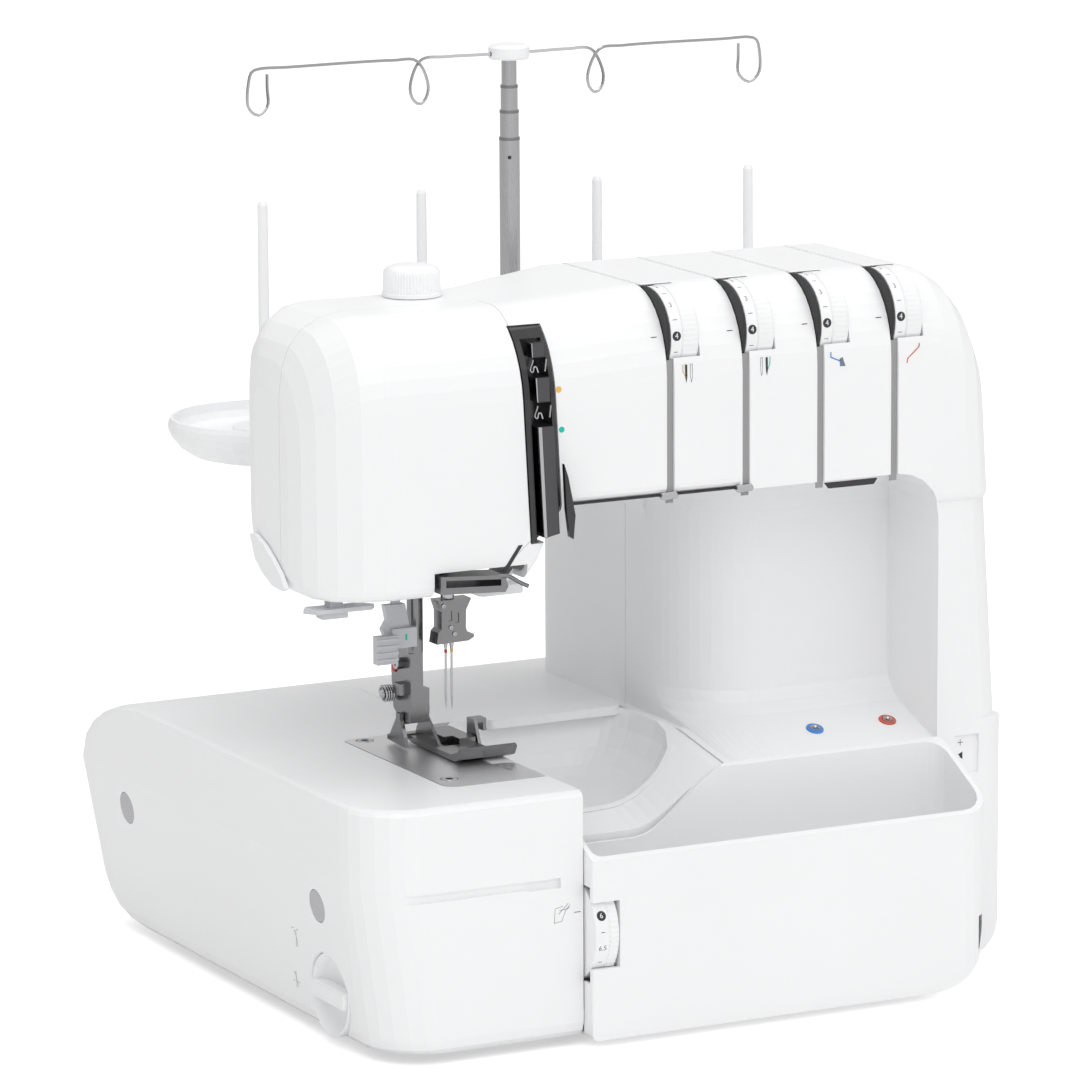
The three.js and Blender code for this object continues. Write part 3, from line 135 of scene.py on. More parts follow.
def make_floor():
    """A white floor that catches the machine's shadow and glows where the camera sees it."""
    bpy.ops.mesh.primitive_plane_add(size=12, location=(0, 0, -0.0002))
    floor = bpy.context.object
    floor.name = "floor"
    paint = plain("floor_paint", (0.97, 0.97, 0.97), 0.28, tint=0.004)
    tree = paint.node_tree
    shader = tree.nodes["Principled BSDF"]
    sight = tree.nodes.new("ShaderNodeLightPath")
    glow = tree.nodes.new("ShaderNodeMapRange")
    glow.inputs["To Min"].default_value = FLOOR_GLOW
    glow.inputs["To Max"].default_value = FLOOR_GLOW_SEEN
    shader.inputs["Emission Color"].default_value = (1, 1, 1, 1)
    tree.links.new(sight.outputs["Is Camera Ray"], glow.inputs["Value"])
    tree.links.new(glow.outputs["Result"], shader.inputs["Emission Strength"])
    floor.data.materials.append(paint)


def make_studio():
    bpy.context.scene.view_settings.view_transform = "Standard"
    make_world()
    for name, (place, size, power) in LIGHTS.items():
        area_light(name, place, size, power)
    make_floor()


# ---------------------------------------------------------------- materials


def new_material(name):
    material = bpy.data.materials.new(name)
    material.use_nodes = True
    tree = material.node_tree
    return material, tree, tree.nodes["Principled BSDF"]


def add_noise(tree, scale, detail=3.0, stretch=(1, 1, 1)):
    """A noise in the object's own metres, optionally stretched along an axis."""
    place = tree.nodes.new("ShaderNodeTexCoord")
    mapping = tree.nodes.new("ShaderNodeMapping")
    mapping.inputs["Scale"].default_value = stretch
    noise = tree.nodes.new("ShaderNodeTexNoise")
    noise.inputs["Scale"].default_value = scale
    noise.inputs["Detail"].default_value = detail
    tree.links.new(place.outputs["Object"], mapping.inputs["Vector"])
    tree.links.new(mapping.outputs["Vector"], noise.inputs["Vector"])
    return noise.outputs["Fac"]


NOISE_LOW, NOISE_HIGH = 0.3, 0.7  # most of a noise's values lie between these


def add_range(tree, value, low, high):
    """Maps a noise onto a range."""
    mapped = tree.nodes.new("ShaderNodeMapRange")
    mapped.inputs["From Min"].default_value = NOISE_LOW
    mapped.inputs["From Max"].default_value = NOISE_HIGH
    mapped.inputs["To Min"].default_value = low
    mapped.inputs["To Max"].default_value = high
    tree.links.new(value, mapped.inputs["Value"])
    return mapped.outputs["Result"]


def add_tint(tree, shader, value, color, change):
    """The base colour, a little darker where the noise is low."""
    ramp = tree.nodes.new("ShaderNodeValToRGB")
    ramp.color_ramp.elements[0].position = NOISE_LOW
    ramp.color_ramp.elements[1].position = NOISE_HIGH
    ramp.color_ramp.elements[0].color = (*[c * (1 - change) for c in color], 1)
    ramp.color_ramp.elements[1].color = (*color, 1)
    tree.links.new(value, ramp.inputs["Fac"])
    tree.links.new(ramp.outputs["Color"], shader.inputs["Base Color"])


def add_bump(tree, shader, value, strength, distance):
    bump = tree.nodes.new("ShaderNodeBump")
    bump.inputs["Strength"].default_value = strength
    bump.inputs["Distance"].default_value = distance
    tree.links.new(value, bump.inputs["Height"])
    tree.links.new(bump.outputs["Normal"], shader.inputs["Normal"])


def plain(name, color, roughness, metallic=0.0, grain=0.0, tint=0.03, scale=900.0, coat=0.0):
    """Moulded plastic, paint or cast metal: slow changes of tint and gloss, and a fine surface grain."""
    material, tree, shader = new_material(name)
    slow = add_noise(tree, 9.0)
    add_tint(tree, shader, slow, color, tint)
    fine = add_noise(tree, scale, 2.0)
    tree.links.new(add_range(tree, fine, roughness * 0.88, roughness * 1.12), shader.inputs["Roughness"])
    shader.inputs["Metallic"].default_value = metallic
    shader.inputs["Coat Weight"].default_value = coat
    shader.inputs["Coat Roughness"].default_value = 0.12
    if grain:
        add_bump(tree, shader, fine, grain, 0.00006)
    return material


def brushed(name, color, roughness, stretch, depth=0.05):
    """Brushed steel, its scratches drawn out along the axis whose stretch is small."""
    material, tree, shader = new_material(name)
    scratches = add_noise(tree, 1600.0, 3.0, stretch)
    add_tint(tree, shader, scratches, color, 0.05)
    gloss = add_range(tree, scratches, roughness * 0.85, roughness * 1.15)
    tree.links.new(gloss, shader.inputs["Roughness"])
    shader.inputs["Metallic"].default_value = 1.0
    add_bump(tree, shader, scratches, depth, 0.00002)
    return material


WHITE_COLOR = (0.915, 0.918, 0.925)

make = {
    "white": lambda: plain("white_plastic", WHITE_COLOR, 0.34, grain=0.05, tint=0.015),
    "grey": lambda: plain("light_grey_plastic", (0.6, 0.61, 0.63), 0.4, grain=0.06),
    "mid_grey": lambda: plain("mid_grey_plastic", (0.36, 0.365, 0.38), 0.45, grain=0.06),
    "mid_grey_cap": lambda: plain("cap_plastic", (0.5, 0.5, 0.515), 0.5, grain=0.06),
    # black painted shade for the gap beside each tension dial
    "gap_shade_black": lambda: plain("gap_painted_shade", (0.02, 0.02, 0.022), 0.5, grain=0.06),
    # grey painted shade for the thread grooves' floors
    "groove_shade_grey": lambda: plain("groove_shadow", (0.34, 0.34, 0.345), 0.6),
    "graphite": lambda: plain("graphite_metal", (0.09, 0.09, 0.095), 0.35, metallic=0.6),
    "rubber": lambda: plain("rubber", (0.035, 0.035, 0.037), 0.8, grain=0.25, tint=0.2, scale=1600),
    "casting": lambda: plain("cast_alloy", (0.5, 0.51, 0.53), 0.55, metallic=1.0, grain=0.35, tint=0.1),
    "steel": lambda: brushed("steel", (0.5, 0.5, 0.51), 0.26, (1, 1, 0.06)),
    "plate": lambda: brushed("plate_steel", (0.82, 0.82, 0.83), 0.36, (0.05, 1, 1), 0.08),
    "chrome": lambda: plain("chrome", (0.5, 0.5, 0.51), 0.12, metallic=1.0, tint=0.04),
    "satin_chrome": lambda: plain("satin_chrome", (0.26, 0.26, 0.265), 0.24, metallic=1.0, tint=0.04),
    "black": lambda: plain("black_gloss_plastic", (0.018, 0.018, 0.02), 0.16, tint=0.2, coat=0.4),
    "motor": lambda: plain("motor_enamel", (0.05, 0.052, 0.056), 0.5, grain=0.2, tint=0.15),
    "red": lambda: plain("red_plastic", (0.62, 0.03, 0.022), 0.35, tint=0.08),
    "blue": lambda: plain("blue_plastic", (0.06, 0.26, 0.68), 0.35, tint=0.08),
    "coral": lambda: plain("coral_plastic", (0.62, 0.11, 0.07), 0.35, tint=0.08),
    "orange": lambda: plain("orange_paint", (0.9, 0.5, 0.1), 0.5, tint=0.05),
    "teal": lambda: plain("teal_paint", (0.0, 0.55, 0.42), 0.5, tint=0.05),
    # dark ink for print, and also painted shade in a hole, a slit and a groove
    "ink_and_shade": lambda: plain("dark_ink_and_painted_shade", (0.035, 0.035, 0.04), 0.55, tint=0.1),
    "grey_ink": lambda: plain("grey_ink", (0.2, 0.2, 0.21), 0.55, tint=0.1),
    "diffuser": lambda: plain("lamp_diffuser", (0.8, 0.82, 0.83), 0.25, tint=0.02),
}
made = {}


def material(key):
    if key not in made:
        made[key] = make[key]()
    return made[key]


# ---------------------------------------------------------------- CAD nodes that stay

BREAK_ANGLE = math.radians(32)  # edges steeper than this are broken
SHARP_ANGLE = math.radians(60)  # on a node with broken edges, only steeper ones stay sharp


def soften(obj, width):
    """Breaks an object's sharp edges by a width, and shades its rounded runs smoothly."""
    obj.data.polygons.foreach_set("use_smooth", [True] * len(obj.data.polygons))
    if width:
        bevel = obj.modifiers.new("edges", "BEVEL")
        bevel.width = width * MM
        bevel.segments = 2
        bevel.limit_method = "ANGLE"
        bevel.angle_limit = BREAK_ANGLE
        bevel.harden_normals = False
    normals = obj.modifiers.new("normals", "WEIGHTED_NORMAL")
    normals.mode = "FACE_AREA_WITH_ANGLE"
    normals.weight = 60
    normals.keep_sharp = True


def mark_sharp(mesh, limit):
    """Flags edges steeper than an angle, so that smooth shading stops there."""
    for edge in mesh.edges:
        edge.smooth = len(edge.link_faces) != 2 or edge.calc_face_angle(0) < limit


def keep_node(name, key, width):
    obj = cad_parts[name]
    obj.data.materials.clear()
    obj.data.materials.append(material(key))
    mesh = bmesh.new()
    mesh.from_mesh(obj.data)
    mark_sharp(mesh, SHARP_ANGLE if width else BREAK_ANGLE)
    mesh.to_mesh(obj.data)
    mesh.free()
    soften(obj, width)


# The width by which each node's edges are broken.
WHITE_NODES = {
    "free_arm_cover": 0.8,
    "face_cover": 0.6,
    "rear_cover": 0.8,
    "front_cover": 0.5,
    "looper_cover": 0.7,
    "waste_chute": 0.5,
    "spool_tray": 0.5,
    "handwheel": 0.6,
    "presser_lifter": 0.5,
    "thread_guide_cap": 0.8,
    "spool_pin_1": 0.0,
    "spool_pin_2": 0.0,
    "spool_pin_3": 0.0,
    "spool_pin_4": 0.0,
    "cutting_width_dial": 0.0,
    "rolled_hem_knob": 0.5,
    "pressure_knob": 0.0,
    "tension_dial_1": 0.0,
    "tension_dial_2": 0.0,
    "tension_dial_3": 0.0,
    "tension_dial_4": 0.0,
}
# The material and the broken edges' width of every other node.
OTHER_NODES = {
    "base_tray": ("grey", 0.4),
    "needle_threader": ("grey", 0.25),
    "thread_cutter": ("grey", 0.4),
    "stitch_length_dial": ("grey", 0.5),
    "foot_front_left": ("rubber", 0.3),
    "foot_front_right": ("rubber", 0.3),
    "foot_rear_left": ("rubber", 0.3),
    "foot_rear_right": ("rubber", 0.3),
    "drive_belt": ("rubber", 0.0),
    "machine_frame": ("casting", 0.8),
    "main_shaft": ("steel", 0.2),
    "motor_pulley": ("steel", 0.2),
    "looper_cover_rod": ("steel", 0.2),
    "feed_dog": ("steel", 0.1),
    "upper_knife": ("satin_chrome", 0.15),
    "lower_knife": ("steel", 0.15),
    "needle_clamp": ("satin_chrome", 0.3),
    "presser_shank": ("satin_chrome", 0.3),
    "pole_tube_1": ("steel", 0.15),
    "pole_tube_2": ("steel", 0.15),
    "pole_tube_3": ("steel", 0.15),
    "pole_tube_4": ("steel", 0.15),
    "needle_plate": ("plate", 0.25),
    "lower_looper": ("chrome", 0.2),
    "upper_looper": ("chrome", 0.2),
    "needle_bar": ("chrome", 0.0),
    "needle_left": ("chrome", 0.0),
    "needle_right": ("chrome", 0.0),
    "presser_bar": ("satin_chrome", 0.0),
    "presser_foot": ("satin_chrome", 0.15),
    "take_up_lever": ("black", 0.15),
    "thread_guide": ("satin_chrome", 0.15),
    "thread_guide_wire": ("chrome", 0.0),
    "motor": ("motor", 0.8),
    "thread_guard": ("black", 0.25),
    "power_inlet": ("black", 0.3),
    "power_switch": ("black", 0.4),
    "foot_release_button": ("red", 0.2),
    "lamp_lens": ("diffuser", 0.4),
}


def dress_nodes():
    for name, width in WHITE_NODES.items():
        keep_node(name, "white", width)
    for name, (key, width) in OTHER_NODES.items():
        keep_node(name, key, width)


# ---------------------------------------------------------------- mesh helpers


def add_mesh(name, mesh, body, key, sharp=35, bevel=0.0):
    """A bmesh whose vertices are in the machine's millimetres becomes a piece that rides on a body."""
    for vertex in mesh.verts:
        vertex.co = at(*vertex.co)
    bmesh.ops.recalc_face_normals(mesh, faces=mesh.faces)
    mark_sharp(mesh, math.radians(sharp))
    for face in mesh.faces:
        face.smooth = True
    data = bpy.data.meshes.new(name)
    mesh.to_mesh(data)
    mesh.free()
    piece = bpy.data.objects.new(name, data)
    bpy.context.scene.collection.objects.link(piece)
    data.materials.append(material(key))
    if bevel:
        soften(piece, bevel)
    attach(piece, body)
    return piece


def join_loops(mesh, loops):
    """Quads between neighbouring loops of vertices, and a cap on each end."""
    for low, high in zip(loops, loops[1:]):
        for i in range(len(low)):
            j = (i + 1) % len(low)
            mesh.faces.new((low[i], low[j], high[j], high[i]))
    mesh.faces.new(loops[0])
    mesh.faces.new(loops[-1])


def on_axis(axis, centre, radius, angle, along):
    """A point at a radius and angle about an axis through the centre."""
    a, b = radius * math.cos(angle), radius * math.sin(angle)
    offset = {"x": (along, a, b), "y": (a, along, b), "z": (a, b, along)}[axis]
    return Vector(centre) + Vector(offset)


def polygon_radius(radius, sides, angle):
    """The distance to the edge of a regular polygon whose flats touch the radius."""
    if not sides:
        return radius
    step = 2 * math.pi / sides
    return radius / math.cos((angle % step) - step / 2)


def wheel(name, rings, axis, centre, body, key, ribs=0, segments=64, sharp=35):
    """A turned piece. A ring is its place along the axis and its radius, then rib depth and polygon sides."""
    count = ribs * 4 or segments
    mesh = bmesh.new()
    loops = []
    for ring in rings:
        along, radius, depth, sides = (*ring, 0, 0)[:4]
        loop = []
        for i in range(count):
            angle = 2 * math.pi * i / count
            reach = polygon_radius(radius, sides, angle) - depth * (0.5 - 0.5 * math.cos(ribs * angle))
            loop.append(mesh.verts.new(on_axis(axis, centre, reach, angle, along)))
        loops.append(loop)
    join_loops(mesh, loops)
    return add_mesh(name, mesh, body, key, sharp)


def plate(name, outline, axis, low, high, body, key, bevel=0.2):
    """An outline pushed along an axis: along x it is (y, z), along y (x, z), along z (x, y)."""
    place = {
        "x": lambda a, b, d: (d, a, b),
        "y": lambda a, b, d: (a, d, b),
        "z": lambda a, b, d: (a, b, d),
    }[axis]
    mesh = bmesh.new()
    join_loops(mesh, [[mesh.verts.new(place(a, b, d)) for a, b in outline] for d in (low, high)])
    return add_mesh(name, mesh, body, key, bevel=bevel)


def wire(name, points, radius, body, key):
    """Round wire along a smooth run of points."""
    data = bpy.data.curves.new(name, "CURVE")
    data.dimensions = "3D"
    data.bevel_depth = radius * MM
    data.bevel_resolution = 3
    data.resolution_u = 8
    data.use_fill_caps = True
    spline = data.splines.new("BEZIER")
    spline.bezier_points.add(len(points) - 1)
    for knot, point in zip(spline.bezier_points, points):
        knot.co = at(*point)
        knot.handle_left_type = knot.handle_right_type = "AUTO"
    piece = bpy.data.objects.new(name, data)
    bpy.context.scene.collection.objects.link(piece)
    data.materials.append(material(key))
    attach(piece, body)
    return piece


def surface_frame(origin, right, up):
    """A matrix whose x and y lie on a surface and whose z stands off it."""
    right, up = Vector(right).normalized(), Vector(up).normalized()
    turn = Matrix((right, up, right.cross(up))).transposed().to_4x4()
    return Matrix.Translation(Vector(origin)) @ turn


INK_DEPTH = -0.05  # printed patches start just under the surface


def add_prism(mesh, outline, place, low, high):
    """An outline in a surface's frame, pushed from one height to another."""
    join_loops(mesh, [[mesh.verts.new(place @ Vector((x, y, z))) for x, y in outline] for z in (low, high)])


def print_strokes(name, strokes, place, body, key="ink_and_shade", width=0.3):
    """Strips of ink on a surface. Each stroke is a run of (x, y) in the surface's frame."""
    mesh = bmesh.new()
    for stroke in strokes:
        for (x0, y0), (x1, y1) in zip(stroke, stroke[1:]):
            along = Vector((x1 - x0, y1 - y0)).normalized() * width / 2
            side = Vector((-along.y, along.x))
            corners = [
                (x0 - along.x - side.x, y0 - along.y - side.y),
                (x1 + along.x - side.x, y1 + along.y - side.y),
                (x1 + along.x + side.x, y1 + along.y + side.y),
                (x0 - along.x + side.x, y0 - along.y + side.y),
            ]
            add_prism(mesh, corners, place, INK_DEPTH, 0.05)
    return add_mesh(name, mesh, body, key)


def print_shape(name, outline, place, body, key="ink_and_shade", height=0.05):
    """A printed patch on a surface, or a patch of painted shade."""
    mesh = bmesh.new()
    add_prism(mesh, outline, place, INK_DEPTH, height)
    return add_mesh(name, mesh, body, key)


def circle(radius, count=32):
    turn = 2 * math.pi / count
    return [(radius * math.cos(turn * i), radius * math.sin(turn * i)) for i in range(count)]


def print_number(name, text, size, place, body, key="grey_ink"):
    """A number printed on a surface, centred on the frame's origin."""
    data = bpy.data.curves.new(name, "FONT")
    data.body = text
    data.size = size * MM
    data.extrude = 0.03 * MM
    data.align_x = "CENTER"
    data.align_y = "CENTER"
    piece = bpy.data.objects.new(name, data)
    bpy.context.scene.collection.objects.link(piece)
    turn = place.to_3x3().to_4x4()
    piece.matrix_world = Matrix.Translation(at(*place.translation)) @ turn
    data.materials.append(material(key))
    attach(piece, body)
    return piece


def recessed_screw(name, axis, centre, radius, height, body, sides=6, facing=1):
    """A flat screw head with a polygonal drive recess."""
    hole = radius * 0.42
    rings = [
        (0, radius),
        (facing * height * 0.6, radius),
        (facing * height, radius * 0.88),
        (facing * height, hole, 0, sides),
        (facing * height * 0.4, hole, 0, sides),
    ]
    return wheel(name, rings, axis, centre, body, "chrome", sharp=30)


# ---------------------------------------------------------------- dials and knobs

DIAL_X = [175.9 + 37.8 * i for i in range(4)]
DIAL_Y, DIAL_Z, DIAL_RADIUS = 59.3, 300.9, 21.3
NUMBER_RADIUS = 20.8
MARK_STEP = 20  # degrees between the marks
FIRST_MARK = 4.3  # degrees from the front to the set number
SET_TENSION = 4
WIDTH_DIAL = (107, 13, 50.5)
WIDTH_RADIUS = 23.2
SET_WIDTH = 6
PRESSURE_KNOB = (76, 106, 318.8)
HEM_KNOB = (8.6, 52, 23)
ABOVE_SPOT = Matrix.Translation((0, 0, 0.07))  # lifts a number onto its dark spot
ARM_FRONT = 38.0
ARM_FRONT_AT_TICK = 41.7  # the arm's front leans back beside the dials


def drum_frame(x, centre_y, centre_z, radius, angle):
    """The frame on a drum about X at an angle above its front."""
    c, s = math.cos(angle), math.sin(angle)
    return surface_frame((x, centre_y - radius * c, centre_z + radius * s), (1, 0, 0), (0, s, c))


def make_tension_dial(index, x):
    """A fluted drum, with the detent teeth at its left and a black ring round them painted as the shade in
    the gap.
    """
    body, centre = f"tension_{index}", (x, DIAL_Y, DIAL_Z)
    full, ring = DIAL_RADIUS, NUMBER_RADIUS
    rings = [
        (-7.1, ring - 0.9), (-6.8, ring), (-1.7, ring), (-1.5, ring - 0.3), (-1.3, ring), (-1.1, full),
        (-0.8, full, 0.34), (5.9, full, 0.34), (6.3, full - 0.2), (6.9, full - 0.9), (7.1, full - 2.2),
    ]
    dial = wheel(f"tension_dial_{index}_drum", rings, "x", centre, body, "white", ribs=60)
    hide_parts(f"tension_dial_{index}")
    # a black ring painted as the shade in the gap between the dial and the housing
    gap = [(-9.1, ring - 1.2), (-8.9, ring + 0.4), (-8.0, ring + 0.4), (-7.0, ring - 0.4)]
    wheel(f"tension_dial_{index}_gap", gap, "x", centre, body, "gap_shade_black")
    teeth = [(-8.0, ring - 1.0, 1.6), (-7.05, ring - 1.0, 1.6)]
    wheel(f"tension_dial_{index}_detents", teeth, "x", centre, body, "mid_grey", ribs=14)


def make_tension_numbers(index, x):
    """Numbers with a short line between them; the set one is white on a dark spot."""
    body = f"tension_{index}"
    for k in range(-8, 11):
        place = drum_frame(x - 4.2, DIAL_Y, DIAL_Z, NUMBER_RADIUS, math.radians(FIRST_MARK + MARK_STEP * k))
        name = f"tension_dial_{index}_mark_{k + 8}"
        number = SET_TENSION - k // 2
        if k % 2:
            print_strokes(name, [[(-0.9, 0), (0.9, 0)]], place, body, width=0.26)
        elif number == SET_TENSION:
            print_shape(f"{name}_spot", circle(2.1), place, body)
            print_number(name, str(number), 3.3, place @ ABOVE_SPOT, body, "white")
        else:
            print_number(name, str(number), 3.5, place, body)


def make_dial_tick(index, x):
    tick = surface_frame((x - 13.9, ARM_FRONT_AT_TICK, 302.3), (1, 0, 0), (0, 0.28, 1))
    print_strokes(f"tension_index_{index}", [[(-1.2, 0), (1.2, 0)]], tick, "housing", width=0.36)


def make_needle_picture(index, place):
    """Two needles side by side, the dial's own one filled and threaded."""
    dark, light, thread_key = (-1.3, 1.3, "orange") if index == 1 else (1.3, -1.3, "teal")
    needle = [(-0.5, 4), (0.5, 4), (0.5, -1.6), (0, -4), (-0.5, -1.6)]
    filled = [(a + dark, b) for a, b in needle]
    open_line = [(a + light, b) for a, b in needle + needle[:1]]
    thread = [(dark * 2.3, 4), (dark * 2.2, 1), (dark * 1.5, -1), (dark, -1.6)]
    print_shape(f"needle_picture_{index}_dark", filled, place, "housing")
    print_strokes(f"needle_picture_{index}_light", [open_line], place, "housing", "grey_ink", 0.14)
    print_strokes(f"needle_picture_{index}_thread", [thread], place, "housing", thread_key, 0.3)


def make_lower_looper_picture(place):
    hook = [(-4, 3.4), (-4, 1.4), (0.6, -0.6), (1.4, -2.6)]
    block = [(0.4, 0.4), (2, 1), (2.6, -1), (3.4, -3), (0.6, -3)]
    print_strokes("looper_picture_low", [hook], place, "housing", "blue", 0.5)
    print_shape("looper_picture_low_block", block, place, "housing", "grey_ink", 0.03)


def make_upper_looper_picture(place):
    hook = [(3.6, 4), (3.4, 2.6), (-2.4, -2.2), (-2.8, -4)]
    print_strokes("looper_picture_high", [hook], place, "housing", "red", 0.4)


def make_dial_picture(index, x):
    """The small generic picture under each dial: a needle or a looper."""
    place = surface_frame((x + 1.5, ARM_FRONT, 285.6), (1, 0, 0), (0, 0.03, 1))
    if index < 3:
        make_needle_picture(index, place)
    elif index == 3:
        make_lower_looper_picture(place)
    else:
        make_upper_looper_picture(place)


def make_pressure_knob():
    rings = [
        (0, 13.2), (1.5, 13.2), (1.9, 12.6), (2.3, 12.8, 0.45), (10.4, 12.6, 0.45), (11.4, 12.2, 0.3),
        (12.4, 11.3), (13.2, 9.6), (13.7, 6), (13.8, 2),
    ]
    knob = wheel("pressure_knob_fluted", rings, "z", PRESSURE_KNOB, "pressure", "white", ribs=58)
    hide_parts("pressure_knob")


def make_width_dial():
    ring = WIDTH_RADIUS
    rings = [
        (-1.8, ring - 0.7), (-1.6, ring), (4.8, ring), (5.0, ring - 0.3), (5.2, ring),
        (5.4, ring + 0.3, 0.35), (9.4, ring + 0.3, 0.35), (10.0, ring - 0.8),
    ]
    dial = wheel("cutting_width_drum", rings, "x", WIDTH_DIAL, "width_dial", "white", ribs=66)
    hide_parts("cutting_width_dial")


def make_width_numbers():
    body = "width_dial"
    x, y, z = WIDTH_DIAL
    for k in range(-5, 6):
        place = drum_frame(x + 1.8, y, z, WIDTH_RADIUS, math.radians(23 - 18 * k))
        name = f"cutting_width_mark_{k + 5}"
        if k % 2:
            print_strokes(name, [[(-0.8, 0), (0.8, 0)]], place, body, width=0.28)
        elif k == 0:
            print_shape(f"{name}_spot", circle(2.2), place, body)
            print_number(name, str(SET_WIDTH), 3.2, place @ ABOVE_SPOT, body, "white")
        else:
            print_number(name, f"{SET_WIDTH + k / 4:g}", 3.3, place, body)


def make_side_knob():
    """The selector low on the free arm's left side: a sunk disc with a grip bar across it."""
    body, centre = "hem_knob", HEM_KNOB
    dish = [(6.4, 18.7), (-1.4, 18.7), (-1.7, 18.3), (-1.5, 17.8), (1.6, 15.4), (3.2, 12), (3.6, 7), (3.6, 1)]
    disc = wheel("rolled_hem_disc", dish, "x", centre, body, "white")
    outline = [(-16, -3.8), (16, -3.8), (16.6, 0), (16, 3.8), (-16, 3.8), (-16.6, 0)]
    grip = [(centre[1] + a, centre[2] + b) for a, b in outline]
    bar = plate("rolled_hem_grip", grip, "x", 5.4, 13, body, "white", 0.9)
    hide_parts("rolled_hem_knob")


def make_dials():
    for index, x in enumerate(DIAL_X, 1):
        make_tension_dial(index, x)
        make_tension_numbers(index, x)
        make_dial_tick(index, x)
        make_dial_picture(index, x)
    make_pressure_knob()
    make_width_dial()
    make_width_numbers()
    make_side_knob()


# ---------------------------------------------------------------- housing details

WALL_LEAN = 10 / 76  # the free arm's left wall below its band
BAND_BOTTOM = 79
SCREW_CAPS = ((54, 63), (259, 64))
PLATE_SCREWS = ((64, 133.5), (63.5, 47.5))
PORTS = ((253.8, "blue"), (291.6, "coral"))
PORT_Y = 60.0
SHELF_RISE = 13.2 / 35  # the port shelf rises from the bin's rear edge to the recess's back wall
SHELF_FRONT = (40, 106)
COLUMN_STRIP = (319, 41.4)
THREAD_DOTS = ((113.2, 283.7, "orange"), (114.6, 266, "teal"))
GROOVE_CLIPS = ((167.4, 232), (205.2, 232))


def left_wall(y, z):
    """The frame on the free arm's left wall, seen from the left."""
    x = WALL_LEAN * max(0.0, BAND_BOTTOM - z)
    return surface_frame((x, y, z), (0, -1, 0), (-WALL_LEAN, 0, 1))


def upright(x, y, z):
    """The frame on an upright face that looks forward."""
    return surface_frame((x, y, z), (1, 0, 0), (0, 0, 1))


def make_screw_caps():
    """Round caps, just below the free arm's left wall, over its two screws."""
    for index, (y, z) in enumerate(SCREW_CAPS, 1):
        cap = bmesh.new()
        add_prism(cap, circle(7.3, 40), left_wall(y, z), -1.0, -0.05)
        add_mesh(f"screw_cap_{index}", cap, "housing", "mid_grey_cap", bevel=0.15)


def make_hem_pictures():
    """A stitch finger in place and drawn back, by the rolled-hem selector."""
    dashes = [(-3.4, -1.6), (1.4, 3.2)]
    high = [
        *[[(a, 4.4), (b, 4.4)] for a, b in dashes],
        [(-0.8, 3.4), (0.4, 1), (0, -1.2), (-0.8, -4)], [(0.4, 1), (1, -1.6), (0.6, -4)],
        [(-0.8, 3.4), (0.8, 3.2), (0.4, 1)],
    ]
    low = [
        *[[(a, -0.4), (b, -0.4)] for a, b in dashes],
        [(-0.8, 4), (0.4, 1.6), (0, -1.2), (-0.6, -3)], [(0.4, 1.6), (1, -1.4), (0.8, -3)],
        [(-0.8, 4), (0.8, 3.8), (0.4, 1.6)],
    ]
    print_strokes("hem_picture_high", high, left_wall(82, 42), "housing", "grey_ink", 0.22)
    print_strokes("hem_picture_low", low, left_wall(88, 21), "housing", "grey_ink", 0.22)


def make_cutting_prints():
    """Scissors on a piece of cloth and an index tick, by the cutting-width dial."""
    cloth = [[(-4, -4.4), (-3.6, 2), (0, 2.8)], [(-4, -4.4), (-0.4, -3.8), (1.6, 1), (3.6, 3)]]
    blades = [[(-2, -0.6), (2, 3)], [(-1.4, 1), (2.4, 1.4)]]
    grips = [[(2, 3), (2.8, 3.8)], [(2.4, 1.2), (3.2, 2)]]
    picture = [*cloth, *blades, *grips]
    print_strokes("cutting_picture", picture, upright(94.2, 0, 61), "housing", "grey_ink", 0.2)
    print_strokes("cutting_width_index", [[(-1.5, 0), (1.5, 0)]], upright(101.4, 0, 60.4), "housing")


def make_differential_prints():
    """A plus and an arrowhead on the column, by the bin's right end."""
    plus = [[(-1.3, 0), (1.3, 0)], [(0, -1.3), (0, 1.3)]]
    arrow = [(1.2, 1.6), (1.2, -1.8), (0.2, -1.2), (-1, 0.6)]
    print_strokes("differential_plus", plus, upright(*COLUMN_STRIP, 104), "housing", width=0.26)
    print_shape("differential_arrow", arrow, upright(*COLUMN_STRIP, 98), "housing")


def make_ports():
    """The two air-threading ports: a coloured ring round a metal funnel, on the sloping shelf."""
    z = SHELF_FRONT[1] + SHELF_RISE * (PORT_Y - SHELF_FRONT[0])
    ring = ((0, 4.1), (0.5, 4.0), (0.7, 3.6), (0.7, 2.5), (0.1, 2.4))
    funnel = ((0.1, 2.45), (0.85, 2.3), (0.85, 1.9), (-0.6, 0.9))
    for index, (x, ring_key) in enumerate(PORTS, 1):
        place = surface_frame((x, PORT_Y, z), (1, 0, 0), (0, 1, SHELF_RISE))
        for part, key, rings in (("ring", ring_key, ring), ("funnel", "chrome", funnel)):
            mesh = bmesh.new()
            loops = []
            for height, radius in rings:
                around = [place @ Vector((a, b, height)) for a, b in circle(radius, 40)]
                loops.append([mesh.verts.new(point) for point in around])
            join_loops(mesh, loops)
            add_mesh(f"thread_port_{index}_{part}", mesh, "housing", key)


def make_thread_dots():
    for index, (x, z, key) in enumerate(THREAD_DOTS, 1):
        print_shape(f"thread_dot_{index}", circle(1.35), upright(x, ARM_FRONT, z), "housing", key)


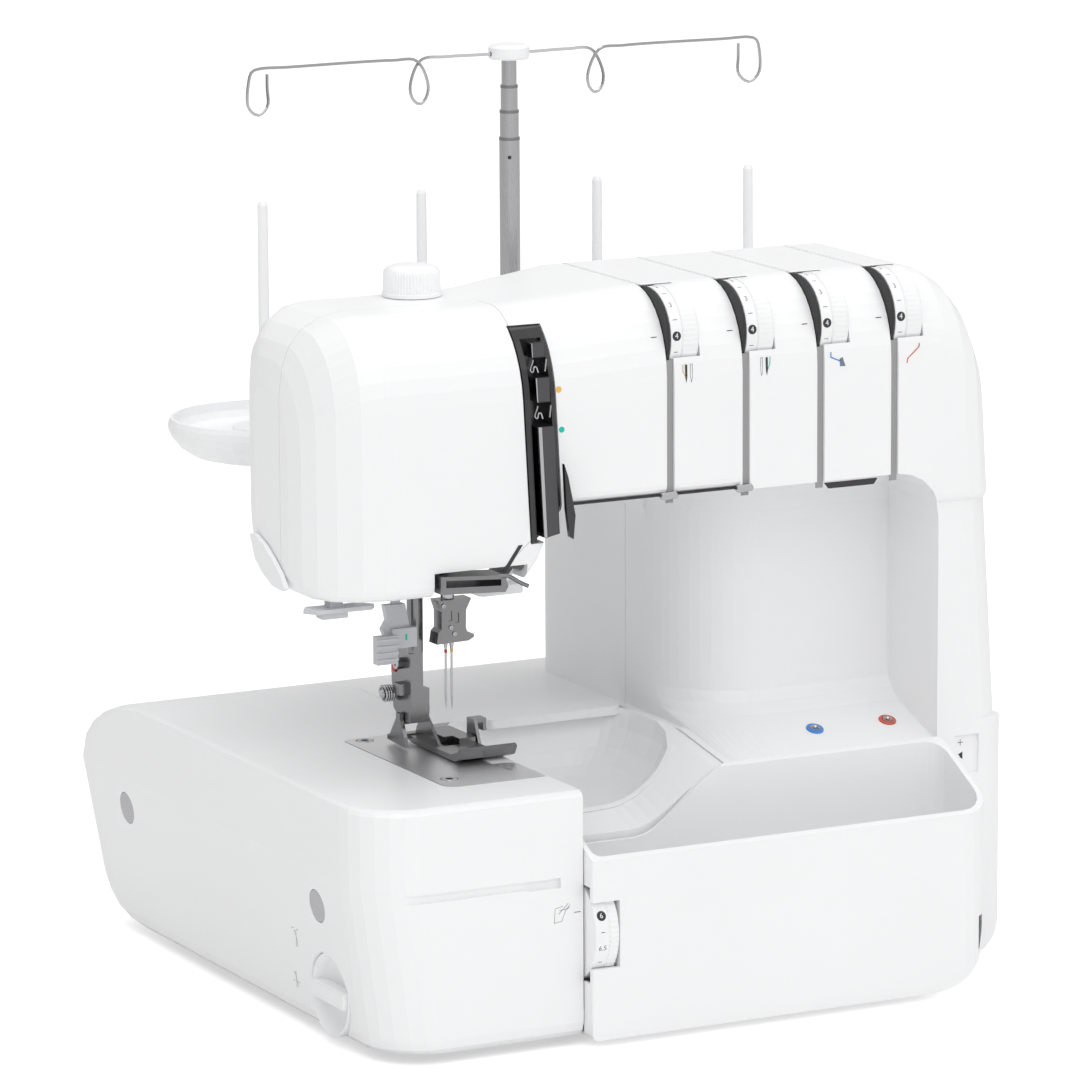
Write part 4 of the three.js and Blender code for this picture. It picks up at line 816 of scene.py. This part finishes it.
def make_arm_details():
    """Clips at the foot of two thread grooves, the dark seams, and painted shade in the slit window, the
    head's thread groove and the grooves' floors.
    """
    clip = [(-3.6, 1.6), (3.2, 1.9), (4.4, 0.2), (3.8, -1.4), (-2.8, -1.8), (-4.4, -0.6)]
    for index, (x, z) in enumerate(GROOVE_CLIPS, 1):
        outline = [(x + a, z + b) for a, b in clip]
        plate(f"groove_clip_{index}", outline, "y", 37.0, 40.4, "housing", "chrome", 0.4)
    window = [(246, 230.6), (273, 230.6), (271, 228), (248, 228)]
    seam = [(118, 232.6), (212, 232.6), (212, 231.9), (118, 231.9)]
    groove = [(85.2, 205.8), (87.4, 205.8), (95.2, 216.8), (93.2, 216.8)]
    # black sheets painted as the shade inside the slit window and the head's thread groove
    plate("slit_window_shade", window, "y", 37.6, 39, "housing", "ink_and_shade", 0.2)
    plate("arm_underside_seam", seam, "y", 38.6, 41, "housing", "ink_and_shade", 0)
    plate("head_thread_groove_shade", groove, "y", 37.8, 38.6, "housing", "ink_and_shade", 0)
    # grey sheets painted as the shade on the thread grooves' floors
    for index, x in enumerate(DIAL_X, 1):
        floor = [(x - 9.3, 292), (x - 5.7, 292), (x - 5.7, 228.5), (x - 9.3, 228.5)]
        plate(f"thread_groove_{index}", floor, "y", 39.3, 39.8, "housing", "groove_shade_grey", 0)


def make_plate_screws():
    for index, (x, y) in enumerate(PLATE_SCREWS, 1):
        recessed_screw(f"plate_screw_{index}", "z", (x, y, 112.6), 3.9, 1.7, "housing")


# ---------------------------------------------------------------- needles, shank, guard and pole

NEEDLE_BANDS = ((87.2, "red"), (90.1, "orange"))
CLAMP_SCREWS = ((88, 170.6), (89.8, 167.6), (84.4, 180.6))
SPRING_AXIS = (120, 138)
SPRING_TURNS, SPRING_STEPS = 4, 10


def make_needle_details():
    """A coloured band on each needle, and the clamp's screws."""
    band = [(0, 0.6), (0, 0.68), (1.6, 0.68), (1.6, 0.6)]
    for index, (x, key) in enumerate(NEEDLE_BANDS, 1):
        wheel(f"needle_band_{index}", band, "z", (x, 98, 158.6), "needle_group", key, segments=20)
    for index, (x, z) in enumerate(CLAMP_SCREWS, 1):
        recessed_screw(f"clamp_screw_{index}", "y", (x, 94.5, z), 1.0, 0.7, "needle_group", facing=-1)


def make_shank_details():
    """The screw at the shank's left, and the spring and pin below it."""
    recessed_screw("shank_screw", "x", (70.2, 113, 152.6), 2.5, 0.8, "presser", sides=4, facing=-1)
    y, z = SPRING_AXIS
    steps = SPRING_TURNS * SPRING_STEPS
    coil = []
    for i in range(steps + 1):
        angle = 2 * math.pi * i / SPRING_STEPS
        coil.append((66.6 + 4.6 * i / steps, y + 3.4 * math.cos(angle), z + 3.4 * math.sin(angle)))
    wire("shank_spring", coil, 0.5, "presser", "chrome")
    pin = [(0, 2.2), (-6.4, 2.2), (-7.2, 1.6), (-7.4, 0.6)]
    wheel("shank_spring_pin", pin, "x", (72.8, y, z), "presser", "chrome")


def make_threader_mark():
    mark = [(-0.5, -1.4), (0.5, -1.4), (0.5, 1.4), (-0.5, 1.4)]
    print_shape("threader_mark", mark, upright(66.4, 95, 168.4), "threader", "teal")


def make_guard_faces():
    """Steel faces in the black thread channel, and the bright strip at the left of each."""
    faces = [
        ("top", [(101, 304.6), (107, 304.6), (106.6, 298.8), (101.4, 298.8)], 38.8),
        ("middle", [(102, 289.6), (107.6, 289.6), (108, 279.4), (102.6, 279.4)], 36.3),
        ("long", [(103, 268.4), (108.8, 268.4), (111, 221.2), (105.4, 220.2)], 33.8),
    ]
    for name, outline, y in faces:
        plate(f"guard_face_{name}", outline, "y", y, y + 0.6, "housing", "graphite", 0.15)
    strips = [
        ("top", [(100.5, 304.8), (101, 304.8), (101.4, 298.6), (100.9, 298.6)], 38.9, 44),
        ("middle", [(101.3, 289.8), (102, 289.8), (102.6, 279.2), (102.0, 279.2)], 36.4, 44),
        ("long", [(101.3, 268.6), (103, 268.6), (105.4, 220), (103.9, 219.7)], 33.9, 42),
    ]
    for name, outline, low, high in strips:
        plate(f"guard_strip_{name}", outline, "y", low, high, "housing", "chrome", 0.15)


def make_guard_clips():
    """Two pairs of bent wires between the steel faces."""
    for index, (y, z) in enumerate(((38.6, 291), (36.4, 271)), 1):
        x = 100 + (311 - z) * 0.05
        left = [(0.6, 1, 6.4), (-0.4, 0, 1.2), (0.8, -0.4, 3.6), (2.4, -0.4, 1)]
        right = [(6.8, 0.6, 6.4), (5.8, 0, 1.2)]
        for side, points, radius in (("left", left, 0.35), ("right", right, 0.4)):
            run = [(x + a, y + b, z + c) for a, b, c in points]
            wire(f"guard_clip_{index}_{side}", run, radius, "housing", "chrome")


POLE = (175.3, 206)
COLLARS = ((371, 4.75, "housing"), (383.5, 4.4, "tube_2"), (395, 3.95, "tube_3"))  # top, radius and tube


def make_pole_details():
    """Bright collars on the telescopic pole, and its detent hole as a dark patch of painted shade."""
    for index, (top, radius, body) in enumerate(COLLARS, 1):
        rings = [(-1.4, radius), (-1.4, radius + 0.12), (-0.2, radius + 0.12), (0, radius - 0.3)]
        wheel(f"pole_collar_{index}", rings, "z", (*POLE, top), body, "satin_chrome", segments=48)
    hole = surface_frame((POLE[0] - 2.1, POLE[1] - 4.2, 362), (0.9, -0.44, 0), (0, 0, 1))
    # the hole's shade is painted as a dark patch
    print_shape("pole_detent_shade", circle(0.9, 20), hole, "housing", "ink_and_shade", 0.06)


make_camera()
make_studio()
dress_nodes()
make_dials()
make_screw_caps()
make_hem_pictures()
make_cutting_prints()
make_differential_prints()
make_ports()
make_thread_dots()
make_arm_details()
make_plate_screws()
make_needle_details()
make_shank_details()
make_threader_mark()
make_guard_faces()
make_guard_clips()
make_pole_details()
